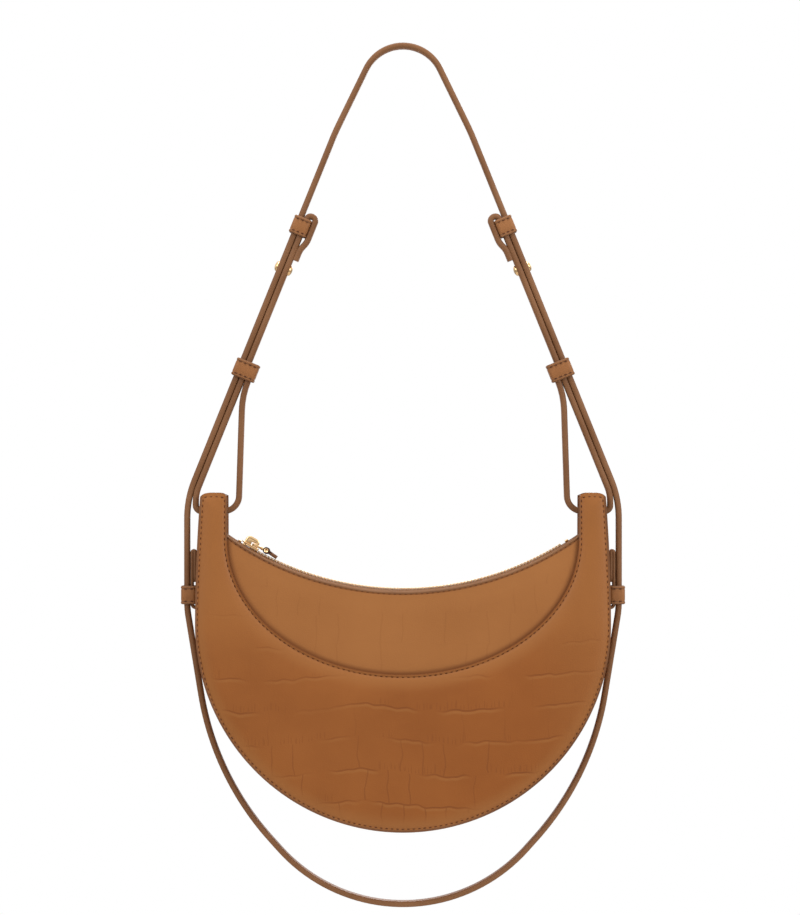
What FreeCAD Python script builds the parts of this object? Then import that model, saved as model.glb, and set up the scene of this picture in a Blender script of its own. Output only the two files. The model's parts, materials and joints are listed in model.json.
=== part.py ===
import FreeCAD, Part
import math
import os
from FreeCAD import Vector

# Half moon shoulder bag of embossed leather, hanging from its strap.
# Frame: origin at the centre of the strap's crown, +X to the wearer's right in front view,
# +Y away from the viewer, +Z up. All sizes in millimetres, all angles in degrees.

# Strap leather; keepers and studs sit at shares of the drop from the crown's centre to the horns
strap_width = 14.0
strap_thick = 3.8
strand_gap = 0.5
crown_inner_radius = 26.9
crown_lean = 26.0
crown_bend_drop = 31.5
crown_bend_radius = 150.0
upper_keeper_share = 0.341
stud_share = 0.444
lower_keeper_share = 0.692

# Keepers: leather rings that hold the strands together
keeper_leather = 1.8
keeper_height = 13.0
keeper_play = 0.2
keeper_inner_corner = 0.6

# Horn straps: each folds round its upper keeper and passes through a horn
fold_above_keeper = 9.4
fold_straight_below = 2.5
fold_merge_below = 8.5
fold_end_below = 12.0
fold_merge = 0.15
fold_bend_radius = 8.0
inner_strand_gap = 5.6
inner_strand_bend_drop = 19.0
inner_strand_bend_radius = 60.0
inner_strand_turn_radius = 11.0
outer_strand_turn_radius = 4.2
outer_strand_bend_radius = 25.0
horn_strand_clear = 0.9
side_strand_gap = 1.7
side_strand_bend_radius = 70.0
side_corner_below_horns = 4.0

# Slack loop of the strap under the bag
side_keeper_above_centre = 19.6
loop_start_drop = 10.0
loop_start_radius = 60.0
loop_lean = 9.3
loop_side_drop = 117.4
loop_base_lean = 42.0
loop_side_share = 0.297
loop_base_share = 0.653
strap_joint_gap = 0.3

# Studs that button the strap to the horn straps
stud_shank_radius = 2.0
stud_hole_play = 0.1
stud_head_radius = 3.8
stud_head_height = 2.4

# Bag body in front view, with heights measured down from the horns' tips
body_radius = 145.0
body_centre_below_horns = 91.0
horn_top_drop = 284.6
horn_top_arch = 2.8
horn_side_lean = 3.2
horn_width = 22.2
seam_height = 93.5
seam_centre_below_horns = 32.9
yoke_lap = 8.0
zip_drop = 35.7
zip_end_gap = 4.8

# Bag body in depth: room beside the strap in the horns, half depth at the base, bulge between them
horn_side_room = 4.5
base_half_depth = 27.5
belly_bulge = 2.0
belly_below_centre = 19.4

# Leather, lining and board
panel_leather = 1.8
gusset_leather = 1.5
flange_width = 3.4
horn_top_flange = 2.6
lining_thick = 0.6
layer_gap = 0.1
sewing_room = 0.3
board_thick = 1.0
horn_wall_below_seam = 12.5
horn_flange_above_seam = 1.5
pocket_half_width = 55.0
pocket_below_zip = 24.8
pocket_height = 74.0
pocket_corner = 10.0
pocket_thick = 0.8

# Swing of the bag on its horn straps
swing_angle = 30.0
swing_clear = 0.4
slot_below_top = 0.45

# Side tabs that hold the side keepers on the gusset
tab_narrower = 2.0
tab_leather = 2.0
tab_above_keeper = 31.0
tab_foot_below_keeper = 3.5
tab_clear = 0.6

# Zip
tape_thick = 0.8
tape_rise = 0.4
tape_edge = 1.6
tape_flap = 8.0
tape_tail = 6.0
tape_bite = 0.05
tooth_spacing = 2.5
tooth_thick = 1.16
tooth_height = 2.6
tooth_root = 3.2
tooth_head = 0.9
tooth_tip_thick = 0.7
chain_start_inset = 12.5
chain_end_inset = 6.5
stop_length = 2.4
stop_height = 3.4
stop_half_width = 3.0
top_stop_inset = 3.5
bottom_stop_inset = 3.1

# Zip slider, pull and leather tab
slider_inset = 12.1
slider_length = 12.0
slider_plate = 1.2
slider_half_width = 4.6
slider_rear_taper = 0.4
slider_nose_radius = 2.6
slider_rear_radius = 1.2
slider_flange = 1.0
slider_clear = 0.25
slider_neck_length = 2.6
slider_neck_half_width = 1.2
bridge_height = 4.0
bridge_thick = 1.6
bridge_half_width = 1.1
bridge_post = 1.6
bridge_round_share = 0.9
pull_bar_radius = 0.7
pull_bar_lift = 0.9
pull_pivot_x = 0.6
pull_length = 10.2
pull_arm = 1.2
pull_half_width = 2.9
pull_thick = 1.2
pull_corner = 1.2
pull_window = 5.6
pull_window_corner = 0.8
pull_end_window = 3.4
pull_rest_tilt = 6.0
tab_bar_radius = 0.9
tab_bar_play = 0.2
pull_tab_leather = 1.2
pull_tab_half_width = 3.5
pull_tab_length = 9.0
tab_rest_droop = 12.0

os.makedirs("parts", exist_ok=True)
AXIS_X = Vector(1, 0, 0)
AXIS_Y = Vector(0, 1, 0)
AXIS_Z = Vector(0, 0, 1)
ORIGIN = Vector(0, 0, 0)
TOUCH = 1e-6

# Heights and widths that follow from the sizes above
crown_bend_z = -crown_bend_drop
upper_keeper_z = -upper_keeper_share * horn_top_drop
stud_z = -stud_share * horn_top_drop
lower_keeper_z = -lower_keeper_share * horn_top_drop
horn_top_z = -horn_top_drop
horn_corner_z = horn_top_z - horn_top_arch
body_centre_z = horn_top_z - body_centre_below_horns
side_keeper_z = body_centre_z + side_keeper_above_centre
side_corner_z = horn_top_z - side_corner_below_horns
seam_centre_z = horn_top_z - seam_centre_below_horns
seam_half_width = body_radius - horn_width
inner_strand_x = seam_half_width - inner_strand_gap - strap_thick / 2
horn_half_depth = strap_width / 2 + horn_side_room
tab_width = strap_width - tab_narrower
belly_z = body_centre_z - belly_below_centre
base_z = body_centre_z - body_radius
belly_share = (horn_top_z - belly_z) / (horn_top_z - base_z)
belly_half_depth = horn_half_depth + belly_share * (base_half_depth - horn_half_depth) + belly_bulge
zip_half_width = seam_half_width - zip_end_gap
zip_low_z = seam_centre_z - zip_drop
zip_radius = (zip_half_width ** 2 + zip_drop ** 2) / (2 * zip_drop)
gusset_end_z = horn_corner_z - horn_top_flange - gusset_leather
slot_half_width = strap_width / 2 + swing_clear
slot_half_height = (
    strap_width / 2 * math.sin(math.radians(swing_angle))
    + strap_thick / 2 * math.cos(math.radians(swing_angle)) + swing_clear)
swing_z = gusset_end_z - slot_below_top - slot_half_height


def save(name, shape):
    """Write one piece as a STEP file."""
    shape.exportStep("parts/" + name + ".step")


def save_pair(name, right_shape):
    """Write a right-hand piece and its left-hand mirror image."""
    save(name + "_right", right_shape)
    save(name + "_left", right_shape.mirror(ORIGIN, AXIS_X))


def at(x, z, y=0.0):
    """A point of the front view, at depth y."""
    return Vector(x, y, z)


def line(start, end):
    return Part.LineSegment(start, end).toShape()


def arc(start, middle, end):
    return Part.Arc(start, middle, end).toShape()


def closed_face(edges):
    """A face inside a closed run of edges."""
    return Part.Face(Part.Wire(Part.__sortEdges__(edges)))


def prism(edges, y_from, y_to):
    """Extrude a front-view outline through the depth of the bag."""
    face = closed_face(edges)
    face.translate(Vector(0, y_from, 0))
    return face.extrude(Vector(0, y_to - y_from, 0))


def rounded_route(points, radii):
    """Straight runs joined by tangent arcs, as (point, heading) lists of two or three stations."""
    runs = []
    start = points[0]
    for index in range(1, len(points) - 1):
        corner = points[index]
        heading_in = (corner - points[index - 1]).normalize()
        heading_out = (points[index + 1] - corner).normalize()
        turn = heading_in.getAngle(heading_out)
        reach = radii[index - 1] * math.tan(turn / 2)
        arc_start = corner - heading_in * reach
        arc_end = corner + heading_out * reach
        inward = (heading_out - heading_in).normalize()
        to_centre = radii[index - 1] / math.cos(turn / 2)
        middle = corner + inward * (to_centre - radii[index - 1])
        heading_middle = (heading_in + heading_out).normalize()
        runs.append([(start, heading_in), (arc_start, heading_in)])
        runs.append([(arc_start, heading_in), (middle, heading_middle), (arc_end, heading_out)])
        start = arc_end
    heading = (points[-1] - start).normalize()
    runs.append([(start, heading), (points[-1], heading)])
    return runs


def offset_edges(runs, distance):
    """The edges beside a route, at a distance to its left."""
    edges = []
    for run in runs:
        moved = [point + Vector(-heading.z, 0, heading.x) * distance for point, heading in run]
        edges.append(line(*moved) if len(moved) == 2 else arc(*moved))
    return edges


def strap_band(points, radii):
    """A flat strap seen edge-on in front view, following a route of points."""
    runs = rounded_route(points, radii)
    left = offset_edges(runs, strap_thick / 2)
    right = offset_edges(runs, -strap_thick / 2)
    edges = left + right
    edges.append(line(left[0].Vertexes[0].Point, right[0].Vertexes[0].Point))
    edges.append(line(left[-1].Vertexes[-1].Point, right[-1].Vertexes[-1].Point))
    return prism(edges, -strap_width / 2, strap_width / 2)


def runs_along(edge, axis):
    """True where a straight edge lies parallel to an axis."""
    return edge.tangentAt(edge.FirstParameter).cross(axis).Length < TOUCH


# Outline of the body: half width of the rim, moved in by an inset, at a height above the round
side_height = horn_corner_z - body_centre_z
side_radius = (side_height ** 2 + horn_side_lean ** 2) / (2 * horn_side_lean)


def rim_x(z, inset=0.0):
    rise = z - body_centre_z
    return body_radius - side_radius + math.sqrt((side_radius - inset) ** 2 - rise ** 2)


# Strap lines in front view: strands lie side by side, and lean so that they reach the body's sides
strand_spacing = strap_thick + strand_gap
outer_strand_x = rim_x(swing_z) + horn_strand_clear + strap_thick / 2
side_strand_x = outer_strand_x + strand_spacing + side_strand_gap
crown_radius = crown_inner_radius + strap_thick / 2
crown_apex = at(0, crown_radius / math.sin(math.radians(crown_lean)))
crown_bend = at((crown_apex.z - crown_bend_z) * math.tan(math.radians(crown_lean)), crown_bend_z)
lean = math.atan((side_strand_x - crown_bend.x) / (crown_bend_z - side_corner_z))


def strand(z, number=0):
    """Point on a strand at height z; strand 0 is the long strap, 1 and 2 lie inside it."""
    long_x = crown_bend.x + (crown_bend_z - z) * math.tan(lean)
    return at(long_x - number * strand_spacing / math.cos(lean), z)


def place_on_strap(shape, z):
    """Move a piece from the upright frame of a strap to the strap's lean at height z."""
    lean_place = FreeCAD.Placement(strand(z), FreeCAD.Rotation(AXIS_Y, -math.degrees(lean)))
    shape.Placement = lean_place.multiply(shape.Placement)
    return shape


def along_strap(z, number, drop):
    """Point on a strand, a distance down the strap from the level of height z."""
    centre = strand(z)
    outward = Vector(math.cos(lean), 0, math.sin(lean))
    down = Vector(math.sin(lean), 0, -math.cos(lean))
    return centre - outward * (number * strand_spacing) + down * drop


def rim_edges(inset, z_end):
    """The rim line from one side's height z_end round the base to the other side."""
    half_rise = (z_end + body_centre_z) / 2
    base = body_radius - inset
    edges = []
    for side in (1, -1):
        edges.append(arc(
            at(side * rim_x(z_end, inset), z_end),
            at(side * rim_x(half_rise, inset), half_rise),
            at(side * base, body_centre_z)))
    edges.append(arc(at(base, body_centre_z), at(0, body_centre_z - base), at(-base, body_centre_z)))
    return edges


def rim_strip(inset_outer, inset_inner, z_end):
    """A strip along the rim, open at the top."""
    edges = rim_edges(inset_outer, z_end) + rim_edges(inset_inner, z_end)
    for side in (1, -1):
        edges.append(line(
            at(side * rim_x(z_end, inset_outer), z_end), at(side * rim_x(z_end, inset_inner), z_end)))
    return edges


def seam_edge(extra):
    """Half ellipse of the crescent's inner seam, widened by a lap."""
    centre = at(0, seam_centre_z)
    ellipse = Part.Ellipse(
        at(seam_half_width + extra, seam_centre_z), at(0, seam_centre_z - seam_height - extra), centre)
    return ellipse.toShape(0, math.pi)


# Depth of the body: the side view of the front panel is one long arc through three half depths
depth_circle = arc(
    Vector(0, -horn_half_depth, horn_top_z),
    Vector(0, -belly_half_depth, belly_z),
    Vector(0, -base_half_depth, base_z)).Curve
depth_centre = depth_circle.Center
depth_radius = depth_circle.Radius
depth_top_z = horn_top_z + flange_width
depth_foot_z = base_z - flange_width
depth_span = 2 * body_radius + 4 * flange_width


def depth_point(z, offset):
    """Point on the front panel's side view, moved inwards by an offset."""
    reach = math.sqrt((depth_radius - offset) ** 2 - (z - depth_centre.z) ** 2)
    return Vector(-depth_span / 2, depth_centre.y - reach, z)


def depth_arc(offset):
    middle_z = (depth_top_z + depth_foot_z) / 2
    return arc(*[depth_point(z, offset) for z in (depth_top_z, middle_z, depth_foot_z)])


def front_layer(outer, inner):
    """The space between two depths behind the front panel's outer face."""
    edges = [depth_arc(outer), depth_arc(inner)]
    for z in (depth_top_z, depth_foot_z):
        edges.append(line(depth_point(z, outer), depth_point(z, inner)))
    return closed_face(edges).extrude(Vector(depth_span, 0, 0))


def inside_of(offset):
    """The space between the front and the back at one offset from their outer faces."""
    front = depth_arc(offset)
    back = front.mirror(ORIGIN, AXIS_Y)
    edges = [front, back]
    for z in (depth_top_z, depth_foot_z):
        point = depth_point(z, offset)
        edges.append(line(point, Vector(point.x, -point.y, z)))
    return closed_face(edges).extrude(Vector(depth_span, 0, 0))


def to_back(shape):
    """The back twin of a front piece."""
    return shape.mirror(ORIGIN, AXIS_Y)


def through(edges):
    """An outline extruded through the whole depth."""
    return prism(edges, -2 * base_half_depth, 2 * base_half_depth)


# Long strap: from one lower keeper over the crown to the other
strap_end = along_strap(lower_keeper_z, 0, 0)


def mirrored_points(points):
    return [at(-point.x, point.z) for point in points]


right_half = [crown_bend, strap_end]
shoulder_points = mirrored_points(right_half[::-1]) + [crown_apex] + right_half
shoulder_strap = strap_band(shoulder_points, [crown_bend_radius, crown_radius, crown_bend_radius])


def strap_hole():
    """Hole for the stud through the long strap and the horn strap beside it."""
    length = 4 * strand_spacing
    hole = Part.makeCylinder(stud_shank_radius + stud_hole_play, length, Vector(-length / 2, 0, 0), AXIS_X)
    return place_on_strap(hole, stud_z)


stud_hole_right = strap_hole()
stud_hole_left = stud_hole_right.mirror(ORIGIN, AXIS_X)
save("shoulder_strap", shoulder_strap.cut(stud_hole_right).cut(stud_hole_left))

# Side strands: the long strap from the lower keeper down to the side keeper
side_end_z = side_keeper_z + strap_joint_gap / 2
side_points = [strap_end, at(side_strand_x, side_corner_z), at(side_strand_x, side_end_z)]
save_pair("strap_side_strand", strap_band(side_points, [side_strand_bend_radius]))

# Slack loop: the long strap from one side keeper under the bag to the other
loop_top = at(side_strand_x, side_keeper_z - strap_joint_gap / 2)
loop_bend = at(side_strand_x, side_keeper_z - loop_start_drop)
loop_side = at(
    loop_bend.x - loop_side_drop * math.tan(math.radians(loop_lean)), loop_bend.z - loop_side_drop)
base_lean = math.radians(loop_base_lean)
loop_foot = at(0, loop_side.z - loop_side.x / math.tan(base_lean))
loop_half = [loop_top, loop_bend, loop_side]
loop_points = loop_half + [loop_foot] + mirrored_points(loop_half[::-1])
base_run = loop_side.x / math.sin(base_lean)
loop_side_radius = loop_side_share * base_run / math.tan((base_lean - math.radians(loop_lean)) / 2)
loop_base_radius = loop_base_share * base_run * math.tan(base_lean)
loop_radii = [loop_start_radius, loop_side_radius, loop_base_radius, loop_side_radius, loop_start_radius]
save("strap_base_loop", strap_band(loop_points, loop_radii))

# Horn straps: end in the lower keeper, through the horn, up beside the long strap, fold round the keeper
fold_number = 1 + (strap_thick + keeper_leather + 3 * keeper_play) / strand_spacing
inner_top = along_strap(lower_keeper_z, 2, -keeper_height / 2)
inner_bend = strand(lower_keeper_z - inner_strand_bend_drop, 2)
outer_corner_z = crown_bend_z - (outer_strand_x - strand(crown_bend_z, 1).x) / math.tan(lean)
fold_corner = along_strap(upper_keeper_z, 1, -fold_above_keeper)
fold_side = along_strap(upper_keeper_z, fold_number, -fold_above_keeper)
fold_middle = (fold_corner + fold_side) * 0.5
fold_radius = (fold_corner - fold_side).Length / 2 - fold_merge
horn_points = [
    inner_top,
    inner_bend,
    at(inner_strand_x, swing_z),
    at(outer_strand_x, swing_z),
    at(outer_strand_x, outer_corner_z),
    fold_corner,
    fold_middle]
horn_radii = [
    inner_strand_bend_radius,
    inner_strand_turn_radius,
    outer_strand_turn_radius,
    outer_strand_bend_radius,
    fold_radius]
merge_number = 1 + (strap_thick - fold_merge) / strand_spacing
fold_points = [
    fold_middle,
    fold_side,
    along_strap(upper_keeper_z, fold_number, keeper_height / 2 + fold_straight_below),
    along_strap(upper_keeper_z, merge_number, keeper_height / 2 + fold_merge_below),
    along_strap(upper_keeper_z, merge_number, keeper_height / 2 + fold_end_below)]
fold_radii = [fold_radius, fold_bend_radius, fold_bend_radius]
horn_strap = strap_band(horn_points, horn_radii).fuse(strap_band(fold_points, fold_radii)).removeSplitter()
save_pair("horn_strap", horn_strap.cut(stud_hole_right))


def keeper_ring(inner_from, inner_to, half_depth):
    """A leather ring round upright strands, from one side to the other of what it holds."""
    wall = keeper_leather
    shapes = []
    for grow in (wall, 0.0):
        block = Part.makeBox(
            inner_to - inner_from + 2 * grow,
            2 * (half_depth + grow),
            keeper_height,
            Vector(inner_from - grow, -half_depth - grow, -keeper_height / 2))
        upright = [edge for edge in block.Edges if runs_along(edge, AXIS_Z)]
        shapes.append(block.makeFillet(keeper_inner_corner + grow, upright))
    return shapes[0].cut(shapes[1])


# Keepers: two strands in the upper ring, three in the lower one
keeper_half_depth = strap_width / 2 + keeper_play
strand_half = strap_thick / 2 + keeper_play
for name, z, strands in (("upper_keeper", upper_keeper_z, 2), ("lower_keeper", lower_keeper_z, 3)):
    ring = keeper_ring(-(strands - 1) * strand_spacing - strand_half, strand_half, keeper_half_depth)
    save_pair(name, place_on_strap(ring, z))


def dome(radius, height):
    """A domed stud head on the YZ plane, bulging along +X."""
    sphere_radius = (height ** 2 + radius ** 2) / (2 * height)
    ball = Part.makeSphere(sphere_radius, Vector(height - sphere_radius, 0, 0))
    half_space = Part.makeBox(
        2 * sphere_radius, 4 * sphere_radius, 4 * sphere_radius,
        Vector(0, -2 * sphere_radius, -2 * sphere_radius))
    return ball.common(half_space)


# Studs: a domed head with a shank through both straps, and a screwed-on cap inside
shank_length = strand_spacing + strap_thick
shank_end = Vector(strap_thick / 2 - shank_length, 0, 0)
shank = Part.makeCylinder(stud_shank_radius, shank_length, shank_end, AXIS_X)
head = dome(stud_head_radius, stud_head_height)
head.translate(Vector(strap_thick / 2, 0, 0))
save_pair("stud_post", place_on_strap(head.fuse(shank), stud_z))
cap = dome(stud_head_radius, stud_head_height).mirror(ORIGIN, AXIS_X)
cap.translate(shank_end)
save_pair("stud_cap", place_on_strap(cap, stud_z))

# Crescent panels, front and back: two horns, a round rim and the inner seam over the yoke
crescent_edges = rim_edges(0.0, horn_corner_z) + [seam_edge(0.0)]
horn_middle = (seam_half_width + rim_x(horn_corner_z)) / 2
for side in (1, -1):
    horn_inner_x = side * seam_half_width
    crescent_edges.append(line(at(horn_inner_x, seam_centre_z), at(horn_inner_x, horn_corner_z)))
    crescent_edges.append(arc(
        at(horn_inner_x, horn_corner_z),
        at(side * horn_middle, horn_top_z),
        at(side * rim_x(horn_corner_z), horn_corner_z)))
crescent = through(crescent_edges).common(front_layer(0.0, panel_leather))
save("front_crescent_panel", crescent)
save("back_crescent_panel", to_back(crescent))

# Yoke panels: lapped under the crescents, with the concave edge that carries the zip
zip_centre = at(0, zip_low_z + zip_radius)


def zip_point(x, radius):
    return at(x, zip_centre.z - math.sqrt(radius ** 2 - x ** 2))


def zip_arc(half_width, radius):
    return arc(zip_point(-half_width, radius), zip_point(0, radius), zip_point(half_width, radius))


def open_above(half_width, radius, corner_z):
    """The space above the zip's edge: its arc, level shoulders out to the sides, and open above."""
    side_x = depth_span / 2
    edges = [zip_arc(half_width, radius), line(at(-side_x, depth_top_z), at(side_x, depth_top_z))]
    for side in (1, -1):
        edges.append(line(zip_point(side * half_width, radius), at(side * side_x, corner_z)))
        edges.append(line(at(side * side_x, corner_z), at(side * side_x, depth_top_z)))
    return through(edges)


yoke_layer = front_layer(panel_leather, panel_leather + gusset_leather)
yoke_half = seam_half_width + yoke_lap
yoke_corner_z = zip_point(zip_half_width, zip_radius).z
yoke_edges = [seam_edge(yoke_lap), line(at(-yoke_half, depth_top_z), at(yoke_half, depth_top_z))]
for side in (1, -1):
    yoke_edges.append(line(at(side * yoke_half, seam_centre_z), at(side * yoke_half, depth_top_z)))
yoke = through(yoke_edges).cut(open_above(zip_half_width, zip_radius, yoke_corner_z)).common(yoke_layer)
save("front_yoke_panel", yoke)
save("back_yoke_panel", to_back(yoke))

# Outer gusset: a strip round the rim whose edges turn out as sewn flanges
flange = through(rim_strip(0.0, flange_width, gusset_end_z)).common(yoke_layer)
wall = through(rim_strip(flange_width, flange_width + gusset_leather, gusset_end_z))
wall = wall.common(inside_of(panel_leather))
slots = Part.makeBox(
    2 * depth_span, 2 * slot_half_width, 2 * slot_half_height,
    Vector(-depth_span, -slot_half_width, swing_z - slot_half_height))
outer_gusset = wall.fuse(flange).fuse(to_back(flange)).removeSplitter().cut(slots)
save("outer_gusset", outer_gusset)

# Horn gussets: over each horn's top and down its inner side to the zip, with their own flanges
wall_x = seam_half_width + flange_width
top_z = horn_corner_z - horn_top_flange
horn_wall_foot_z = seam_centre_z - horn_wall_below_seam
horn_flange_foot_z = seam_centre_z + horn_flange_above_seam
wall_block = Part.makeBox(
    gusset_leather, 4 * base_half_depth, top_z - horn_wall_foot_z,
    Vector(wall_x, -2 * base_half_depth, horn_wall_foot_z))
top_block = Part.makeBox(
    rim_x(gusset_end_z, flange_width) - wall_x, 4 * base_half_depth, gusset_leather,
    Vector(wall_x, -2 * base_half_depth, gusset_end_z))
horn_flange_edges = [
    line(at(seam_half_width, horn_flange_foot_z), at(seam_half_width, horn_corner_z)),
    arc(
        at(seam_half_width, horn_corner_z),
        at(horn_middle, horn_top_z),
        at(rim_x(horn_corner_z), horn_corner_z)),
    line(at(rim_x(horn_corner_z), horn_corner_z), at(rim_x(gusset_end_z), gusset_end_z)),
    line(at(rim_x(gusset_end_z), gusset_end_z), at(wall_x + gusset_leather, gusset_end_z)),
    line(at(wall_x + gusset_leather, gusset_end_z), at(wall_x + gusset_leather, horn_flange_foot_z)),
    line(at(wall_x + gusset_leather, horn_flange_foot_z), at(seam_half_width, horn_flange_foot_z))]
horn_flange = through(horn_flange_edges).common(yoke_layer)
horn_wall = wall_block.fuse(top_block).common(inside_of(panel_leather + gusset_leather))
horn_gusset = horn_wall.fuse(horn_flange).fuse(to_back(horn_flange)).removeSplitter().cut(slots)
save_pair("horn_gusset", horn_gusset)

# Boards that stiffen the crescents between leather and lining
inner_inset = flange_width + gusset_leather + sewing_room
board_top_z = seam_centre_z - sewing_room
board_lap = yoke_lap + sewing_room
board_edges = rim_edges(inner_inset, board_top_z)
board_edges.append(seam_edge(board_lap))
for side in (1, -1):
    board_edges.append(line(
        at(side * (seam_half_width + board_lap), seam_centre_z),
        at(side * rim_x(board_top_z, inner_inset), board_top_z)))
board = through(board_edges).common(front_layer(panel_leather, panel_leather + board_thick))
save("front_stiffener_board", board)
save("back_stiffener_board", to_back(board))

# Lining: a thin bag inside the leather, open along the zip
shell = panel_leather + gusset_leather
lining_offset = shell + tape_thick + 2 * layer_gap
lining_radius = zip_radius + tape_thick
lining_top_z = zip_point(zip_half_width, lining_radius).z
lining_edges = rim_edges(inner_inset, lining_top_z) + [zip_arc(zip_half_width, lining_radius)]
for side in (1, -1):
    lining_edges.append(line(
        at(side * zip_half_width, lining_top_z), at(side * rim_x(lining_top_z, inner_inset), lining_top_z)))
lining_side = through(lining_edges).common(front_layer(lining_offset, lining_offset + lining_thick))
lining_wall = through(rim_strip(inner_inset, inner_inset + lining_thick, lining_top_z))
lining_wall = lining_wall.common(inside_of(lining_offset))
horn_walls = wall_block.fuse(wall_block.mirror(ORIGIN, AXIS_X))
lining = lining_wall.fuse(lining_side).fuse(to_back(lining_side)).removeSplitter().cut(horn_walls)
save("lining", lining)

# Slip pockets sewn to the lining, front and back
pocket_width = 2 * pocket_half_width
pocket_top_z = zip_low_z - pocket_below_zip
pocket_foot_z = pocket_top_z - pocket_height
pocket_block = Part.makeBox(
    pocket_width, 4 * base_half_depth, pocket_height,
    Vector(-pocket_half_width, -2 * base_half_depth, pocket_foot_z))
foot_edges = [edge for edge in pocket_block.Edges
              if runs_along(edge, AXIS_Y) and edge.BoundBox.ZMax < pocket_foot_z + TOUCH]
pocket_offset = lining_offset + lining_thick + layer_gap
pocket = pocket_block.makeFillet(pocket_corner, foot_edges)
pocket = pocket.common(front_layer(pocket_offset, pocket_offset + pocket_thick))
save("front_slip_pocket", pocket)
save("back_slip_pocket", to_back(pocket))

# Side tabs: sewn to the gusset, folded through the side keepers
tab_outer_x = side_strand_x - strap_thick / 2 - tab_clear
keeper_inner_x = tab_outer_x - tab_leather - keeper_play
keeper_half = keeper_height / 2
tab_top_z = side_keeper_z + tab_above_keeper
tab_foot_z = side_keeper_z - keeper_half - tab_foot_below_keeper
tab_inner_x = rim_x(tab_foot_z, flange_width) - gusset_leather
tab_block = Part.makeBox(
    tab_outer_x - tab_inner_x, tab_width, tab_top_z - tab_foot_z,
    Vector(tab_inner_x, -tab_width / 2, tab_foot_z))
slot_block = Part.makeBox(
    keeper_leather + 2 * keeper_play, 2 * tab_width, keeper_height + 2 * keeper_play,
    Vector(
        keeper_inner_x - keeper_leather - keeper_play,
        -tab_width,
        side_keeper_z - keeper_half - keeper_play))
foot_rounds = [edge for edge in tab_block.Edges
               if runs_along(edge, AXIS_Y) and edge.BoundBox.XMin > tab_outer_x - TOUCH]
side_tab = tab_block.makeFillet(tab_leather, foot_rounds).cut(slot_block)
body_block = through(rim_edges(flange_width, tab_top_z + flange_width) + [line(
    at(rim_x(tab_top_z + flange_width, flange_width), tab_top_z + flange_width),
    at(-rim_x(tab_top_z + flange_width, flange_width), tab_top_z + flange_width))])
save_pair("side_tab", side_tab.cut(body_block))

# Side keepers: one ring round each tab fold and the long strap
side_keeper = keeper_ring(keeper_inner_x, side_strand_x + strand_half, keeper_half_depth)
side_keeper.translate(Vector(0, 0, side_keeper_z))
save_pair("side_keeper", side_keeper)

# Zip tapes: level with the yoke's edge, each with a flap sewn inside the yoke
tape_top = zip_radius - tape_rise - tape_thick / 2
tape_foot = tape_top + tape_thick


def zip_sector(radius_from, radius_to, half_width):
    """A strip along the zip's arc between two radii."""
    edges = [zip_arc(half_width, radius_from), zip_arc(half_width, radius_to)]
    for side in (1, -1):
        edges.append(line(zip_point(side * half_width, radius_from), zip_point(side * half_width, radius_to)))
    return edges


tape_edges = zip_sector(tape_top, tape_foot, zip_half_width + tape_tail)
tape_flat = prism(tape_edges, -2 * base_half_depth, -tape_edge)
tape_flat = tape_flat.common(inside_of(shell + layer_gap))
tape_side = through(zip_sector(tape_top, zip_radius + tape_flap, zip_half_width))
tape_side = tape_side.common(front_layer(shell + layer_gap, shell + layer_gap + tape_thick))
zip_tape = tape_flat.fuse(tape_side).removeSplitter()
save("zip_tape_front", zip_tape)
save("zip_tape_back", to_back(zip_tape))


def zip_angle(inset):
    """Angle along the zip's arc of a point that far in from its right end."""
    return math.degrees(math.asin(zip_half_width / zip_radius) - inset / zip_radius)


def on_zip(shape, angle):
    """Turn a piece made at the zip's low point to an angle along its arc, positive to the right."""
    turned = shape.copy()
    turned.rotate(zip_centre, AXIS_Y, -angle)
    return turned


def zip_block(x_from, x_to, y_from, y_to, rise_from, rise_to):
    """A block at the zip's low point, its rise measured from the tape's middle towards the arc's centre."""
    level = zip_low_z + tape_rise
    return Part.makeBox(
        x_to - x_from, y_to - y_from, rise_to - rise_from, Vector(x_from, y_from, level + rise_from))


# Zip teeth: one solid each, the front row half a tooth along from the back row
half_tooth = tooth_thick / 2
half_tip = tooth_tip_thick / 2
tooth_shoulder = tooth_head / 4
tooth_plan = [
    (-half_tooth, -tooth_root), (half_tooth, -tooth_root), (half_tooth, tooth_shoulder),
    (half_tip, tooth_head), (-half_tip, tooth_head), (-half_tooth, tooth_shoulder)]
tooth_foot_z = zip_low_z + tape_rise - tooth_height / 2
corners = [Vector(x, y, tooth_foot_z) for x, y in tooth_plan]
tooth_wire = Part.makePolygon(corners + corners[:1])
tape_room = tape_thick / 2 + tape_bite
tape_block = zip_block(
    -tooth_spacing, tooth_spacing, -2 * tooth_root, tape_bite - tape_edge, -tape_room, tape_room)
front_tooth = Part.Face(tooth_wire).extrude(Vector(0, 0, tooth_height)).cut(tape_block)
back_tooth = to_back(front_tooth)
tooth_step = math.degrees(tooth_spacing / (zip_radius - tape_rise))
chain_start = -zip_angle(chain_start_inset)
chain_end = zip_angle(chain_end_inset)
tooth_count = int((chain_end - chain_start) / tooth_step)
front_teeth = [on_zip(front_tooth, chain_start + index * tooth_step) for index in range(tooth_count)]
back_teeth = [on_zip(back_tooth, chain_start + (index + 0.5) * tooth_step) for index in range(tooth_count)]
save("zip_teeth_front", Part.makeCompound(front_teeth))
save("zip_teeth_back", Part.makeCompound(back_teeth))

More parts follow.
